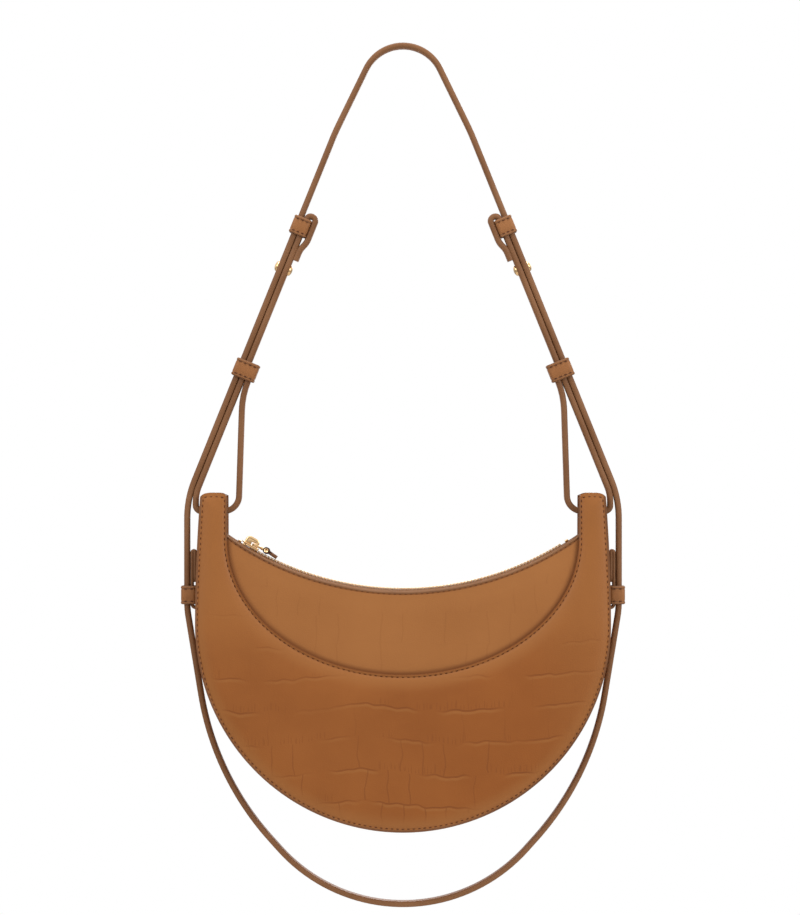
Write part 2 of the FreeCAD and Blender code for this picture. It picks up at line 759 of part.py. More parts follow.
# Zip stops: two clips at the closed end, one box across both tapes at the open end
top_stop_angle = -zip_angle(top_stop_inset)
bottom_stop_angle = zip_angle(bottom_stop_inset)
clip_slot = zip_block(
    -stop_length, stop_length, -2 * stop_half_width, tape_bite - tape_edge, -tape_room, tape_room)
clip = zip_block(
    -stop_length / 2, stop_length / 2, -stop_half_width, -layer_gap, -stop_height / 2, stop_height / 2)
clip = clip.cut(clip_slot)
save("zip_top_stop_front", on_zip(clip, top_stop_angle))
save("zip_top_stop_back", on_zip(to_back(clip), top_stop_angle))
box_stop = zip_block(
    -stop_length / 2, stop_length / 2, -stop_half_width, stop_half_width, -stop_height / 2, stop_height / 2)
save("zip_bottom_stop", on_zip(box_stop.cut(clip_slot).cut(to_back(clip_slot)), bottom_stop_angle))

# Zip slider: two plates round the chain, a neck between them and a bridge for the pull
channel = tooth_height / 2 + slider_clear
half_slider = slider_length / 2
plate_top = channel + slider_plate
flange_gap = tape_thick / 2 + slider_clear
slider = zip_block(-half_slider, half_slider, -slider_half_width, slider_half_width, channel, plate_top)
slider = slider.fuse(zip_block(
    -half_slider, half_slider, -slider_half_width, slider_half_width, -plate_top, -channel))
for y_from, y_to in ((-slider_half_width, slider_flange - slider_half_width),
                     (slider_half_width - slider_flange, slider_half_width)):
    slider = slider.fuse(zip_block(-half_slider, half_slider, y_from, y_to, flange_gap, channel))
    slider = slider.fuse(zip_block(-half_slider, half_slider, y_from, y_to, -channel, -flange_gap))
slider = slider.fuse(zip_block(
    -half_slider, slider_neck_length - half_slider,
    -slider_neck_half_width, slider_neck_half_width, -channel, channel))
slider_rear = slider_half_width - slider_rear_taper
slider_plan = [
    (-half_slider, -slider_half_width), (half_slider, -slider_rear),
    (half_slider, slider_rear), (-half_slider, slider_half_width)]
plan_corners = [Vector(x, y, zip_low_z + tape_rise - plate_top) for x, y in slider_plan]
slider_outline = Part.Face(Part.makePolygon(plan_corners + plan_corners[:1]))
slider_outline = slider_outline.extrude(Vector(0, 0, 2 * plate_top))
nose_edges = [edge for edge in slider_outline.Edges if runs_along(edge, AXIS_Z) and edge.CenterOfMass.x < 0]
slider_outline = slider_outline.makeFillet(slider_nose_radius, nose_edges)
rear_edges = [edge for edge in slider_outline.Edges
              if runs_along(edge, AXIS_Z) and edge.CenterOfMass.x > half_slider - TOUCH]
slider_outline = slider_outline.makeFillet(slider_rear_radius, rear_edges)
slider = slider.common(slider_outline)
bridge_top = plate_top + bridge_height
for x_from, x_to in ((-half_slider + bridge_post, -half_slider + 2 * bridge_post),
                     (half_slider - 2 * bridge_post, half_slider - bridge_post)):
    post = zip_block(x_from, x_to, -bridge_half_width, bridge_half_width, plate_top, bridge_top)
    slider = slider.fuse(post)
slider = slider.fuse(zip_block(
    -half_slider + bridge_post, half_slider - bridge_post, -bridge_half_width, bridge_half_width,
    bridge_top - bridge_thick, bridge_top)).removeSplitter()
crown_edges = [edge for edge in slider.Edges
               if runs_along(edge, AXIS_Y)
               and edge.BoundBox.ZMin > zip_low_z + tape_rise + bridge_top - TOUCH]
slider = slider.makeFillet(bridge_thick * bridge_round_share, crown_edges)
slider_angle = -zip_angle(slider_inset)
save("zip_slider", on_zip(slider, slider_angle))

# Zip pull: a frame whose bar turns under the bridge, with a second bar for the leather tab
pivot_rise = plate_top + pull_bar_lift
pivot_z = zip_low_z + tape_rise + pivot_rise
pull_pivot = Vector(pull_pivot_x, 0, pivot_z)
tab_pivot = Vector(pull_pivot_x + pull_length, 0, pivot_z)


def cross_bar(centre, radius):
    return Part.makeCylinder(radius, 2 * pull_half_width, centre - AXIS_Y * pull_half_width, AXIS_Y)


def pull_plate(x_from, x_to, half_width, thick, corner=0.0):
    """A flat plate of the pull, with its two corners away from the pivot rounded."""
    plate = Part.makeBox(
        x_to - x_from, 2 * half_width, thick, Vector(x_from, -half_width, pivot_z - thick / 2))
    if not corner:
        return plate
    far_edges = [edge for edge in plate.Edges
                 if runs_along(edge, AXIS_Z) and edge.CenterOfMass.x > x_to - TOUCH]
    return plate.makeFillet(corner, far_edges)


window_half = pull_half_width - pull_arm
pull = pull_plate(pull_pivot.x, tab_pivot.x - pull_end_window, pull_half_width, pull_thick, pull_corner)
pull = pull.cut(pull_plate(
    pull_pivot.x, pull_pivot.x + pull_window, window_half, 2 * pull_thick, pull_window_corner))
tail = pull_plate(pull_pivot.x + pull_window, tab_pivot.x, slider_neck_half_width, pull_thick)
pull = pull.fuse(tail).fuse(cross_bar(pull_pivot, pull_bar_radius))
pull = pull.fuse(cross_bar(tab_pivot, tab_bar_radius)).removeSplitter()

# Leather tab: a strip folded over the pull's second bar, cut away round the pull's tail
fold_inner = tab_bar_radius + tab_bar_play
fold_outer = fold_inner + pull_tab_leather
tab_start = tab_pivot - AXIS_Y * pull_tab_half_width
pull_tab = Part.makeCylinder(fold_outer, 2 * pull_tab_half_width, tab_start, AXIS_Y)
pull_tab = pull_tab.fuse(Part.makeBox(
    pull_tab_length, 2 * pull_tab_half_width, 2 * pull_tab_leather,
    Vector(tab_pivot.x, -pull_tab_half_width, pivot_z - pull_tab_leather)))
pull_tab = pull_tab.cut(Part.makeCylinder(fold_inner, 2 * pull_tab_half_width, tab_start, AXIS_Y))
tail_room = slider_neck_half_width + tab_bar_play
pull_tab = pull_tab.cut(Part.makeBox(
    2 * fold_outer, 2 * tail_room, 4 * fold_outer,
    Vector(tab_pivot.x - 2 * fold_outer, -tail_room, pivot_z - 2 * fold_outer))).removeSplitter()
pull_tab.rotate(tab_pivot, AXIS_Y, tab_rest_droop)
for piece in (pull, pull_tab):
    piece.rotate(pull_pivot, AXIS_Y, -pull_rest_tilt)
save("zip_pull", on_zip(pull, slider_angle))
save("zip_pull_tab", on_zip(pull_tab, slider_angle))
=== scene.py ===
import json
import math
from functools import partial

import bmesh
import bpy
from mathutils import Matrix, Vector, noise

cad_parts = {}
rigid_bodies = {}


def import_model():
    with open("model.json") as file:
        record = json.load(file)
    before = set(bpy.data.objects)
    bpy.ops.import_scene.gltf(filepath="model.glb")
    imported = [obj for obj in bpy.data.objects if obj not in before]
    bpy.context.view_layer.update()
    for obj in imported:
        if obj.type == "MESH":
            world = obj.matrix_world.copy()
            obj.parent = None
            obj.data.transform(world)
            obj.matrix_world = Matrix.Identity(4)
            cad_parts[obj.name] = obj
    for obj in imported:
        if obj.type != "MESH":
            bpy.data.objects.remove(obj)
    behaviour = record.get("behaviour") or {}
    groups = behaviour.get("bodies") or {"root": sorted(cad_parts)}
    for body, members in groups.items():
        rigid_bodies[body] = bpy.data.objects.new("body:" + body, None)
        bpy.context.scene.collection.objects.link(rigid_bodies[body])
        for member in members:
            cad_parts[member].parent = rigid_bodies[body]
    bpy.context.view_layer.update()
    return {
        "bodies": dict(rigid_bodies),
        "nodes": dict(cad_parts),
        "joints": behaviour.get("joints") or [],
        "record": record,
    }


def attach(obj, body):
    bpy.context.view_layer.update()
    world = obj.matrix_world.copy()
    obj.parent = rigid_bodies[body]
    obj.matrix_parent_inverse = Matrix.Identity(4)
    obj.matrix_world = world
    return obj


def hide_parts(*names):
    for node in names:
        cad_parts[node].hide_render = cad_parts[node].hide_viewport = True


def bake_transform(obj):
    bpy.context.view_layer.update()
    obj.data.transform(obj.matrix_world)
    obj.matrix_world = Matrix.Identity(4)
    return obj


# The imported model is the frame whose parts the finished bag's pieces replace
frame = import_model()
scene = bpy.context.scene
scene.view_settings.view_transform = "Standard"
MM = 0.001

# Crescent panels, front and back: stiff calf leather 1.8 mm thick, embossed with crocodile scutes.
# Each is cut in one piece with two horns. The inner edge is turned and sewn over the yoke,
# and the outer edge is sewn to the gusset's flange and painted.
front_and_back = (("front", -1), ("back", 1))
left_and_right = (("left", -1), ("right", 1))
body_radius = 145.0 * MM
body_centre_z = -375.6 * MM
horn_top_z = -284.6 * MM
horn_arch = 2.8 * MM
horn_corner_z = horn_top_z - horn_arch
horn_share = 0.055
horn_half_depth = 11.5 * MM
base_half_depth = 27.5 * MM
depth_bulge = 8.03 * MM
side_radius = 1217.1 * MM
seam_half_width = 122.8 * MM
seam_height = 93.5 * MM
seam_centre_z = -317.5 * MM
zip_half_width = 118.0 * MM
zip_drop = 35.7 * MM
zip_low_z = seam_centre_z - zip_drop
zip_radius = (zip_half_width ** 2 + zip_drop ** 2) / (2 * zip_drop)
zip_centre_z = zip_low_z + zip_radius
zip_stitch_inset = 2.1 * MM
panel_leather = 1.8 * MM
rim_stitch_inset = 2.4 * MM
seam_stitch_inset = 1.9 * MM
sewn_depth = 0.35 * MM
sewn_width = 0.7 * MM
panel_puff = 2.4 * MM
puff_reach = 7.0 * MM
lip_height = 0.5 * MM
lip_edge = (0.9 * MM, 1.7 * MM)
emboss_height = (-340 * MM, -425 * MM)
emboss_border = (4 * MM, 14 * MM)
# Fade of the emboss on the far right: that side gets less painted crease shade and more painted highlight,
# for light from the right
painted_light_right = (85 * MM, 135 * MM)
painted_light_right_loss = 0.5
emboss_middle = (-60 * MM, 60 * MM)
left_loss = 0.2
panel_columns = 320
panel_rows = 60
rim_paint_rows = 3
inner_paint_rows = 2
widest_edge_zone = 0.4
softened_angle = math.radians(50)


def front_point(x, z):
    return Vector((x, 0, z))


def half_depth(z):
    """Half depth of the bag at a height: straight from horn tip to base, with a bulge between."""
    share = (horn_top_z - z) / (horn_top_z - body_centre_z + body_radius)
    straight = horn_half_depth + (base_half_depth - horn_half_depth) * share
    return straight + depth_bulge * share * (1 - share)


def rim_x(z):
    """Half width of the bag's side above the round base."""
    rise = max(z - body_centre_z, 0.0)
    return body_radius - side_radius + math.sqrt(side_radius ** 2 - rise ** 2)


def rim_frame(share, top_z):
    """Point on the rim and the direction into the bag, from a height on the left round to the right."""
    side_length = top_z - body_centre_z
    round_length = math.pi * body_radius
    length = share * (2 * side_length + round_length)
    if length < side_length or length > side_length + round_length:
        side = -1 if length < side_length else 1
        z = top_z - length if side < 0 else body_centre_z + length - side_length - round_length
        lean = math.asin((z - body_centre_z) / side_radius)
        return front_point(side * rim_x(z), z), front_point(-side * math.cos(lean), -math.sin(lean))
    angle = (length - side_length) / body_radius
    inward = front_point(math.cos(angle), math.sin(angle))
    return front_point(0, body_centre_z) - inward * body_radius, inward


def crescent_spoke(along):
    """Inner and outer end of a line across the crescent, from the left horn's tip to the right one's."""
    if along < horn_share or along > 1 - horn_share:
        side = -1 if along < horn_share else 1
        down = min(along, 1 - along) / horn_share
        z = horn_corner_z + (seam_centre_z - horn_corner_z) * down
        return front_point(side * seam_half_width, z), front_point(side * rim_x(z), z)
    share = (along - horn_share) / (1 - 2 * horn_share)
    angle = math.pi * share
    inner = front_point(-seam_half_width * math.cos(angle), seam_centre_z - seam_height * math.sin(angle))
    return inner, rim_frame(share, seam_centre_z)[0]


def crescent_width(along):
    inner, outer = crescent_spoke(along)
    return (outer - inner).length


def smooth_step(low, high, value):
    share = min(max((value - low) / (high - low), 0.0), 1.0)
    return share * share * (3 - 2 * share)


def groove(distance, width):
    return math.exp(-(distance / width) ** 2)


def horn_top_arch(share):
    """How far a horn's top rises, as a share of its arch, across the horn from 0 to 1."""
    return 1 - (2 * share - 1) ** 4


def emboss_strength(x, z, to_seam, to_rim):
    """The emboss is strongest low on the panel and fades towards the horns, the seam and the rim. It also
    fades on the far right, so that side takes more of the painted highlight of the light from the right.
    """
    low = smooth_step(*emboss_height, z)
    edges = smooth_step(*emboss_border, min(to_seam, to_rim))
    sides = 1 - painted_light_right_loss * smooth_step(*painted_light_right, x)
    return low * edges * sides * (1 - left_loss * (1 - smooth_step(*emboss_middle, x)))


def panel_relief(to_seam, to_rim):
    """Height of the crescent's face over the cut leather: turned lip, sewing lines and a soft puff."""
    relief = panel_puff
    sewn = 0.0
    for distance, inset in ((to_rim, rim_stitch_inset), (to_seam, seam_stitch_inset)):
        relief *= 1 - math.exp(-max(distance - inset, 0) / puff_reach)
        sewn += sewn_depth * groove(distance - inset, sewn_width)
    return relief + lip_height * (1 - smooth_step(*lip_edge, to_seam)) - sewn


def crescent_surface(along, to_seam, face):
    """Point on a crescent's outer face, and how strong the emboss is there."""
    inner, outer = crescent_spoke(along)
    width = (outer - inner).length
    to_rim = width - to_seam
    point = inner + (outer - inner) * (to_seam / width)
    horn_down = min(along, 1 - along) / horn_share
    point.z += horn_arch * horn_top_arch(to_seam / width) * max(1 - horn_down, 0.0)
    to_tip = (horn_top_z - point.z) if horn_down < 1 else width
    point.y = face * (half_depth(point.z) + panel_relief(to_seam, min(to_rim, to_tip)))
    return point, emboss_strength(point.x, point.z, to_seam, to_rim)


def across_edges(share, width, rows, edge_rows=9, edge_zone=5.0 * MM):
    """Distance across a piece whose rows lie close together near both edges."""
    index = share * rows
    edge_zone = min(edge_zone, widest_edge_zone * width)
    if index <= edge_rows:
        return edge_zone * index / edge_rows
    if index >= rows - edge_rows:
        return width - edge_zone * (rows - index) / edge_rows
    return edge_zone + (width - 2 * edge_zone) * (index - edge_rows) / (rows - 2 * edge_rows)


def leather_sheet(columns, rows, place, outward):
    """A grid of leather whose points are moved to their places, with its face turned outward."""
    sheet = bmesh.new()
    bmesh.ops.create_grid(sheet, x_segments=columns, y_segments=rows, size=0.5)
    for vert in sheet.verts:
        vert.co = place(vert.co.x + 0.5, vert.co.y + 0.5)
    sheet.normal_update()
    middle = sheet.faces[:][(rows // 2) * columns + columns // 2]
    if middle.normal.dot(outward) < 0:
        bmesh.ops.reverse_faces(sheet, faces=sheet.faces[:])
    return sheet


def panel_sheet(columns, rows, surface, width_at, face):
    """A panel's sheet, with the strength of the emboss at each of its points."""
    strengths = []

    def place(along, across):
        point, strength = surface(along, across_edges(across, width_at(along), rows), face)
        strengths.append(strength)
        return point

    return leather_sheet(columns, rows, place, Vector((0, face, 0))), strengths


def make_piece(shape, name, materials, node=None, body="bag", sharp=None):
    """Turn a finished bmesh into a smooth object at the origin that rides on a body and replaces a node."""
    mesh = bpy.data.meshes.new(name)
    shape.to_mesh(mesh)
    shape.free()
    mesh.shade_smooth()
    if sharp:
        mesh.set_sharp_from_angle(angle=math.radians(sharp))
    for material in materials:
        mesh.materials.append(material)
    piece = bpy.data.objects.new(name, mesh)
    scene.collection.objects.link(piece)
    if node:
        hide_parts(node)
    if body:
        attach(piece, body)
    return piece


def sheet_piece(shape, name, materials, node, thickness, edge_round=0.25 * MM):
    """A sheet with its thickness behind its face, soft edges and the last finish on its cut edge."""
    piece = make_piece(shape, name, materials, node)
    solid = piece.modifiers.new("leather", "SOLIDIFY")
    solid.thickness = thickness
    solid.offset = -1
    solid.use_even_offset = True
    solid.material_offset_rim = len(materials) - 1
    soft = piece.modifiers.new("edges", "BEVEL")
    soft.width = edge_round
    soft.segments = 2
    soft.limit_method = "ANGLE"
    soft.angle_limit = softened_angle
    return piece


def panel_piece(shape, strengths, name, materials, node, thickness):
    """A panel that keeps the strength of the emboss at each point for its material."""
    panel = sheet_piece(shape, name, materials, node, thickness)
    marks = panel.data.attributes.new("emboss", "FLOAT", "POINT")
    marks.data.foreach_set("value", strengths)


def srgb(red, green, blue):
    """A colour as seen on screen, from 0 to 255, as the shader's linear values."""
    linear = []
    for value in (red / 255, green / 255, blue / 255):
        linear.append(value / 12.92 if value <= 0.04045 else ((value + 0.055) / 1.055) ** 2.4)
    return (*linear, 1.0)


def plug(tree, node, links):
    """Plug outputs into a node's inputs, or set the inputs' own values."""
    for label, source in links:
        if isinstance(source, bpy.types.NodeSocket):
            tree.links.new(source, node.inputs[label])
        else:
            node.inputs[label].default_value = source


def add_node(tree, kind, links=(), **settings):
    """Add a node, set its options and plug earlier outputs into its inputs."""
    node = tree.nodes.new(kind)
    for label, value in settings.items():
        setattr(node, label, value)
    plug(tree, node, links)
    return node


def effect_group(name, inputs, outputs):
    """An empty shader group with named number sockets: its tree, its inputs and its output node."""
    group = bpy.data.node_groups.new(name, "ShaderNodeTree")
    for label, value in inputs:
        socket = group.interface.new_socket(label, in_out="INPUT", socket_type="NodeSocketFloat")
        socket.default_value = value
    for label in outputs:
        group.interface.new_socket(label, in_out="OUTPUT", socket_type="NodeSocketFloat")
    return group, group.nodes.new("NodeGroupInput").outputs, group.nodes.new("NodeGroupOutput")


def new_finish(name):
    """An empty material, its node tree and its shader."""
    material = bpy.data.materials.new(name)
    material.use_nodes = True
    return material, material.node_tree, material.node_tree.nodes["Principled BSDF"]


def object_place(tree):
    return add_node(tree, "ShaderNodeTexCoord").outputs["Object"]


def calc(tree, operation, *values):
    """Result of one sum in a shader."""
    return add_node(tree, "ShaderNodeMath", enumerate(values), operation=operation).outputs[0]


def ramp(tree, value, start, end, low=0.0, high=1.0, kind="LINEAR"):
    """Go from one number to another while a value goes from start to end."""
    node = add_node(tree, "ShaderNodeMapRange", interpolation_type=kind, links=[
        ("Value", value), ("From Min", start), ("From Max", end), ("To Min", low), ("To Max", high)])
    return node.outputs["Result"]


def soft_ramp(tree, value, start, end):
    """A soft step from 0 at one value to 1 at another, in either direction."""
    return ramp(tree, value, start, end, kind="SMOOTHSTEP")


def spots(tree, place, scale, detail):
    """Noise from 0 to 1, with about as many spots as the scale to each unit of the place."""
    node = add_node(tree, "ShaderNodeTexNoise", [("Vector", place), ("Scale", scale), ("Detail", detail)])
    return node.outputs["Fac"]


def mixed(tree, share, under, over):
    """One colour laid over another by a share."""
    mix = add_node(tree, "ShaderNodeMix", [("Factor", share), (6, under), (7, over)], data_type="RGBA")
    return mix.outputs[2]


def bumped(tree, height, strength, distance):
    links = [("Height", height), ("Strength", strength), ("Distance", distance)]
    return add_node(tree, "ShaderNodeBump", links)


# Leather grain: fine pores and creases for the bump, and slow blotches for colour and gloss
leather_grain, grain_in, grain_out = effect_group(
    "leather_grain", [("Pores per metre", 1500.0), ("Blotches per metre", 22.0)],
    ["Height", "Tone", "Gloss"])
grain_gloss = (0.38, 0.54)
grain_place = object_place(leather_grain)
pores = add_node(leather_grain, "ShaderNodeTexVoronoi", [
    ("Vector", grain_place), ("Scale", grain_in["Pores per metre"])], feature="SMOOTH_F1")
fibres = spots(leather_grain, grain_place, grain_in["Pores per metre"], 3.0)
blotches = spots(leather_grain, grain_place, grain_in["Blotches per metre"], 4.0)
plug(leather_grain, grain_out, [
    ("Height", calc(leather_grain, "ADD", pores.outputs["Distance"], fibres)),
    ("Tone", blotches),
    ("Gloss", ramp(leather_grain, blotches, 0.0, 1.0, *grain_gloss))])

# Crocodile emboss, in millimetres: wavy broken rows of creases with a raised lip below them,
# upright divisions between scutes, combs of short ticks above the creases, painted shadow along the seam and
# painted shade along the zip's sewing line.
# A pair of numbers is where a mark starts and where it is full, or the size of a patch of noise.
emboss, emboss_in, emboss_out = effect_group(
    "crocodile_emboss",
    [("Row height", 21.6), ("First row", -391.5), ("Scute width", 15.0), ("Rows", 1.0),
     ("High divisions", 0.1), ("Zip shade", 0.0)],
    ["Crease", "Lip", "Seam"])
back_shift = 31.7
crease_line = (0.8, 0.2)
lip_upper = (0.5, 1.2)
lip_lower = (3.2, 1.5)
division_line = (0.75, 0.2)
low_divisions = (-430.0, -480.0)
low_division_gain = 0.6
row_breaks = (0.36, 0.62)
scute_shift_reach = 6.0
chosen_scutes = (0.44, 0.54)
ticks_per_mm = 0.36
tick_line = (0.22, 0.04)
tick_height = (-6.0, -3.0)
tick_foot = (-0.3, -1.2)
tick_shift_reach = 1.6
tick_rise_reach = 8.0
tick_patches = (0.50, 0.60)
comb_strength = 0.5
seam_mean_radius = 105.0
# Reach of the crescent's painted shadow on the yoke, and width of the painted shade line along the zip's
# sewing line
seam_shadow_reach = (4.0, -0.4)
seam_shadow_edge = (-0.9, -0.3)
zip_shade_width = (0.9, 0.1)
grain_bump = 0.35
grain_tone = (0.3, 0.7)
emboss_bump = 0.17
emboss_depth = 0.3 * MM
lip_rise = 0.4
# Shares of the painted highlight on the lips and of the painted shade in the creases
lip_highlight_cover = 0.45
crease_shade_cover = 0.8
# Share of the painted shadow along the seam and of the painted shade along the zip's sewing line
seam_shadow_cover = 0.85
# Share towards the lip colour where the emboss is weak: a painted highlight on the horns, the puffed rim,
# the right side and the yoke
painted_light_where_smooth = 0.5
operations = ("MULTIPLY", "ADD", "SUBTRACT", "DIVIDE", "MAXIMUM")
times, plus, minus, divided, larger = [partial(calc, emboss, operation) for operation in operations]


def mark(value, limits):
    return soft_ramp(emboss, value, *limits)


def diagonal(across, up):
    return calc(emboss, "SQRT", plus(times(across, across), times(up, up)))


def patches(across, up, size, layer):
    """Soft noise whose patches have the given sizes, different on the two faces of the bag."""
    place = add_node(emboss, "ShaderNodeCombineXYZ", [
        ("X", divided(across, size[0])), ("Y", divided(up, size[1])), ("Z", plus(emboss_side, layer))])
    return spots(emboss, place.outputs[0], 1.0, 0.0)


def swayed(size, layer, reach, middle):
    """Noise over the panel, with a reach, added to a number or another value."""
    return calc(emboss, "MULTIPLY_ADD", patches(emboss_x, emboss_z, size, layer), reach, middle)


emboss_axes = add_node(emboss, "ShaderNodeSeparateXYZ", [("Vector", object_place(emboss))]).outputs
emboss_x = times(emboss_axes["X"], 1 / MM)
emboss_z = times(emboss_axes["Z"], 1 / MM)
emboss_side = times(calc(emboss, "SIGN", emboss_axes["Y"]), back_shift)

# Rows of creases, each with its lip
slow_sway = swayed((75.0, 160.0), layer=0.0, reach=15.0, middle=-7.5)
quick_sway = swayed((9.0, 30.0), layer=7.0, reach=4.0, middle=-2.0)
sway = plus(slow_sway, quick_sway)
row_place = divided(plus(minus(emboss_in["First row"], emboss_z), sway), emboss_in["Row height"])
row = calc(emboss, "ROUND", row_place)
below = times(minus(row_place, row), emboss_in["Row height"])
unbroken = mark(patches(emboss_x, row, size=(32.0, 0.32), layer=20.0), row_breaks)
row_share = times(unbroken, emboss_in["Rows"])
row_crease = times(mark(calc(emboss, "ABSOLUTE", below), crease_line), row_share)
row_lip = times(times(mark(below, lip_upper), mark(below, lip_lower)), row_share)

# Divisions between the scutes of a row, where they are chosen
scute_row = calc(emboss, "FLOOR", row_place)
scute_shift = times(patches(scute_row, 0.0, size=(0.19, 1.0), layer=3.0), scute_shift_reach)
wander = swayed((18.0, 11.0), layer=40.0, reach=4.0, middle=emboss_x)
scute_place = plus(divided(wander, emboss_in["Scute width"]), scute_shift)
scute = calc(emboss, "ROUND", scute_place)
aside = times(calc(emboss, "PINGPONG", scute_place, 0.5), emboss_in["Scute width"])
chosen = mark(patches(scute, scute_row, size=(0.37, 0.24), layer=60.0), chosen_scutes)
low_rows = calc(
    emboss, "MULTIPLY_ADD", mark(emboss_z, low_divisions), low_division_gain, emboss_in["High divisions"])
division = times(mark(aside, division_line), times(chosen, low_rows))

# Combs of short ticks that stand on the creases
tick_shift = times(patches(emboss_x, row, size=(4.0, 1.0), layer=5.0), tick_shift_reach)
tick_place = calc(emboss, "MULTIPLY_ADD", emboss_x, ticks_per_mm, tick_shift)
tick = mark(calc(emboss, "PINGPONG", tick_place, 0.5), tick_line)
tick_noise = patches(emboss_x, row, size=(2.4, 0.7), layer=13.0)
tick_rise = calc(emboss, "MULTIPLY_ADD", tick_noise, tick_rise_reach, -tick_rise_reach / 2)
tick_zone = times(mark(plus(below, tick_rise), tick_height), mark(below, tick_foot))
tick_patch = mark(patches(emboss_x, row, size=(26.0, 0.43), layer=80.0), tick_patches)
comb = times(times(tick, tick_zone), times(tick_patch, times(emboss_in["Rows"], comb_strength)))

# Painted shadow on the yoke beside the crescent's raised edge at the seam, with a dark line on that edge
# that is partly its edge paint and partly painted shade, and painted shade along the zip's sewing line
seam_drop = calc(emboss, "MINIMUM", minus(emboss_z, seam_centre_z / MM), 0.0)
seam_ring = diagonal(divided(emboss_x, seam_half_width / MM), divided(seam_drop, seam_height / MM))
seam_gap = times(minus(1.0, seam_ring), seam_mean_radius)
seam_painted_shadow = times(mark(seam_gap, seam_shadow_reach), mark(seam_gap, seam_shadow_edge))
zip_ring = diagonal(emboss_x, minus(emboss_z, zip_centre_z / MM))
off_line = calc(emboss, "ABSOLUTE", minus(zip_ring, (zip_radius + zip_stitch_inset) / MM))
zip_painted_shade = times(mark(off_line, zip_shade_width), emboss_in["Zip shade"])
plug(emboss, emboss_out, [
    ("Crease", larger(larger(row_crease, division), comb)),
    ("Lip", row_lip),
    ("Seam", larger(seam_painted_shadow, zip_painted_shade))])


def leather_finish(name, dark, light, pores_per_metre, pore_depth, emboss_shade_and_highlight=None, rows=1.0,
                   divisions=0.1, zip_shade_share=0.0, shine=0.2):
    """Leather with grain and blotches between two colours. Its emboss darkens the creases with a painted
    shade colour and lightens the lips with a painted highlight colour, and where the emboss is weak the
    colour is mixed towards the highlight colour, also painted light.
    """
    material, tree, shader = new_finish(name)
    grain = add_node(
        tree, "ShaderNodeGroup", [("Pores per metre", pores_per_metre)], node_tree=leather_grain)
    colour = mixed(tree, ramp(tree, grain.outputs["Tone"], *grain_tone), srgb(*dark), srgb(*light))
    bump = bumped(tree, grain.outputs["Height"], grain_bump, pore_depth)
    if emboss_shade_and_highlight:
        # The emboss's first colour is painted shade for the creases, the seam and the zip line, and its
        # second is a painted highlight for the lips and the smooth leather
        crease_shade_colour, lip_highlight_colour = [srgb(*shade) for shade in emboss_shade_and_highlight]
        marks = add_node(tree, "ShaderNodeGroup", node_tree=emboss, links=[
            ("Rows", rows), ("High divisions", divisions), ("Zip shade", zip_shade_share)]).outputs
        strength = add_node(tree, "ShaderNodeAttribute", attribute_name="emboss").outputs["Fac"]
        crease = calc(tree, "MULTIPLY", marks["Crease"], strength)
        lip = calc(tree, "MULTIPLY", marks["Lip"], strength)
        # Where the emboss is weak the colour goes towards the lip colour, a painted highlight on the horns,
        # rim, right side and yoke
        colour = mixed(tree, strength, mixed(tree, painted_light_where_smooth, colour, lip_highlight_colour), colour)
        # Painted highlight on the lips, painted shade in the creases, and painted shadow and shade along the
        # seam and the zip line
        layers = (
            (lip, lip_highlight_cover, lip_highlight_colour), (crease, crease_shade_cover, crease_shade_colour),
            (marks["Seam"], seam_shadow_cover, crease_shade_colour))
        for share, cover, over in layers:
            colour = mixed(tree, calc(tree, "MULTIPLY", share, cover), colour, over)
        rise = calc(tree, "SUBTRACT", calc(tree, "MULTIPLY", lip, lip_rise), crease)
        pressed = bumped(tree, rise, emboss_bump, emboss_depth)
        plug(tree, bump, [("Normal", pressed.outputs["Normal"])])
    plug(tree, shader, [
        ("Base Color", colour), ("Roughness", grain.outputs["Gloss"]),
        ("Normal", bump.outputs["Normal"]), ("Specular IOR Level", shine)])
    return material


# The crescents' emboss takes a painted shade colour in its creases and a painted highlight colour on its
# lips
embossed_leather = leather_finish(
    "embossed_leather", (139, 79, 33), (149, 87, 38), 1300, 0.12 * MM,
    emboss_shade_and_highlight=((122, 68, 30), (160, 106, 57)))
edge_paint = leather_finish("edge_paint", (122, 82, 52), (144, 102, 70), 700, 0.1 * MM)
rim_paint = leather_finish("rim_paint", (108, 68, 40), (130, 87, 55), 700, 0.15 * MM)
for side_name, face in front_and_back:
    shape, strengths = panel_sheet(panel_columns, panel_rows, crescent_surface, crescent_width, face)
    for number, panel_face in enumerate(shape.faces):
        row_number, column = divmod(number, panel_columns)
        on_horn = min(column, panel_columns - 1 - column) < horn_share * panel_columns
        if row_number >= panel_rows - rim_paint_rows or (on_horn and row_number < inner_paint_rows):
            panel_face.material_index = 1
    panel_piece(
        shape, strengths, side_name + "_crescent", [embossed_leather, rim_paint],
        side_name + "_crescent_panel", panel_leather)

# Yoke panels, front and back: smooth leather 1.5 mm thick under the zip.
# The concave top edge is turned and sewn to the zip tape, and the lower edge is lapped
# 8 mm under the crescent, so that the face lies recessed behind the crescent's lip.
yoke_leather_thick = 1.5 * MM
yoke_lap = 8.0 * MM
yoke_gap = 0.05 * MM
yoke_columns = 200
yoke_rows = 48
yoke_roll = 0.8 * MM
yoke_roll_height = 0.6 * MM
yoke_sewn_depth = 0.3 * MM
yoke_sewn_width = 0.5 * MM
yoke_emboss = 0.3
yoke_emboss_top = (8 * MM, 20 * MM)
rolled_rows = 3
yoke_reach = seam_half_width - 0.2 * MM
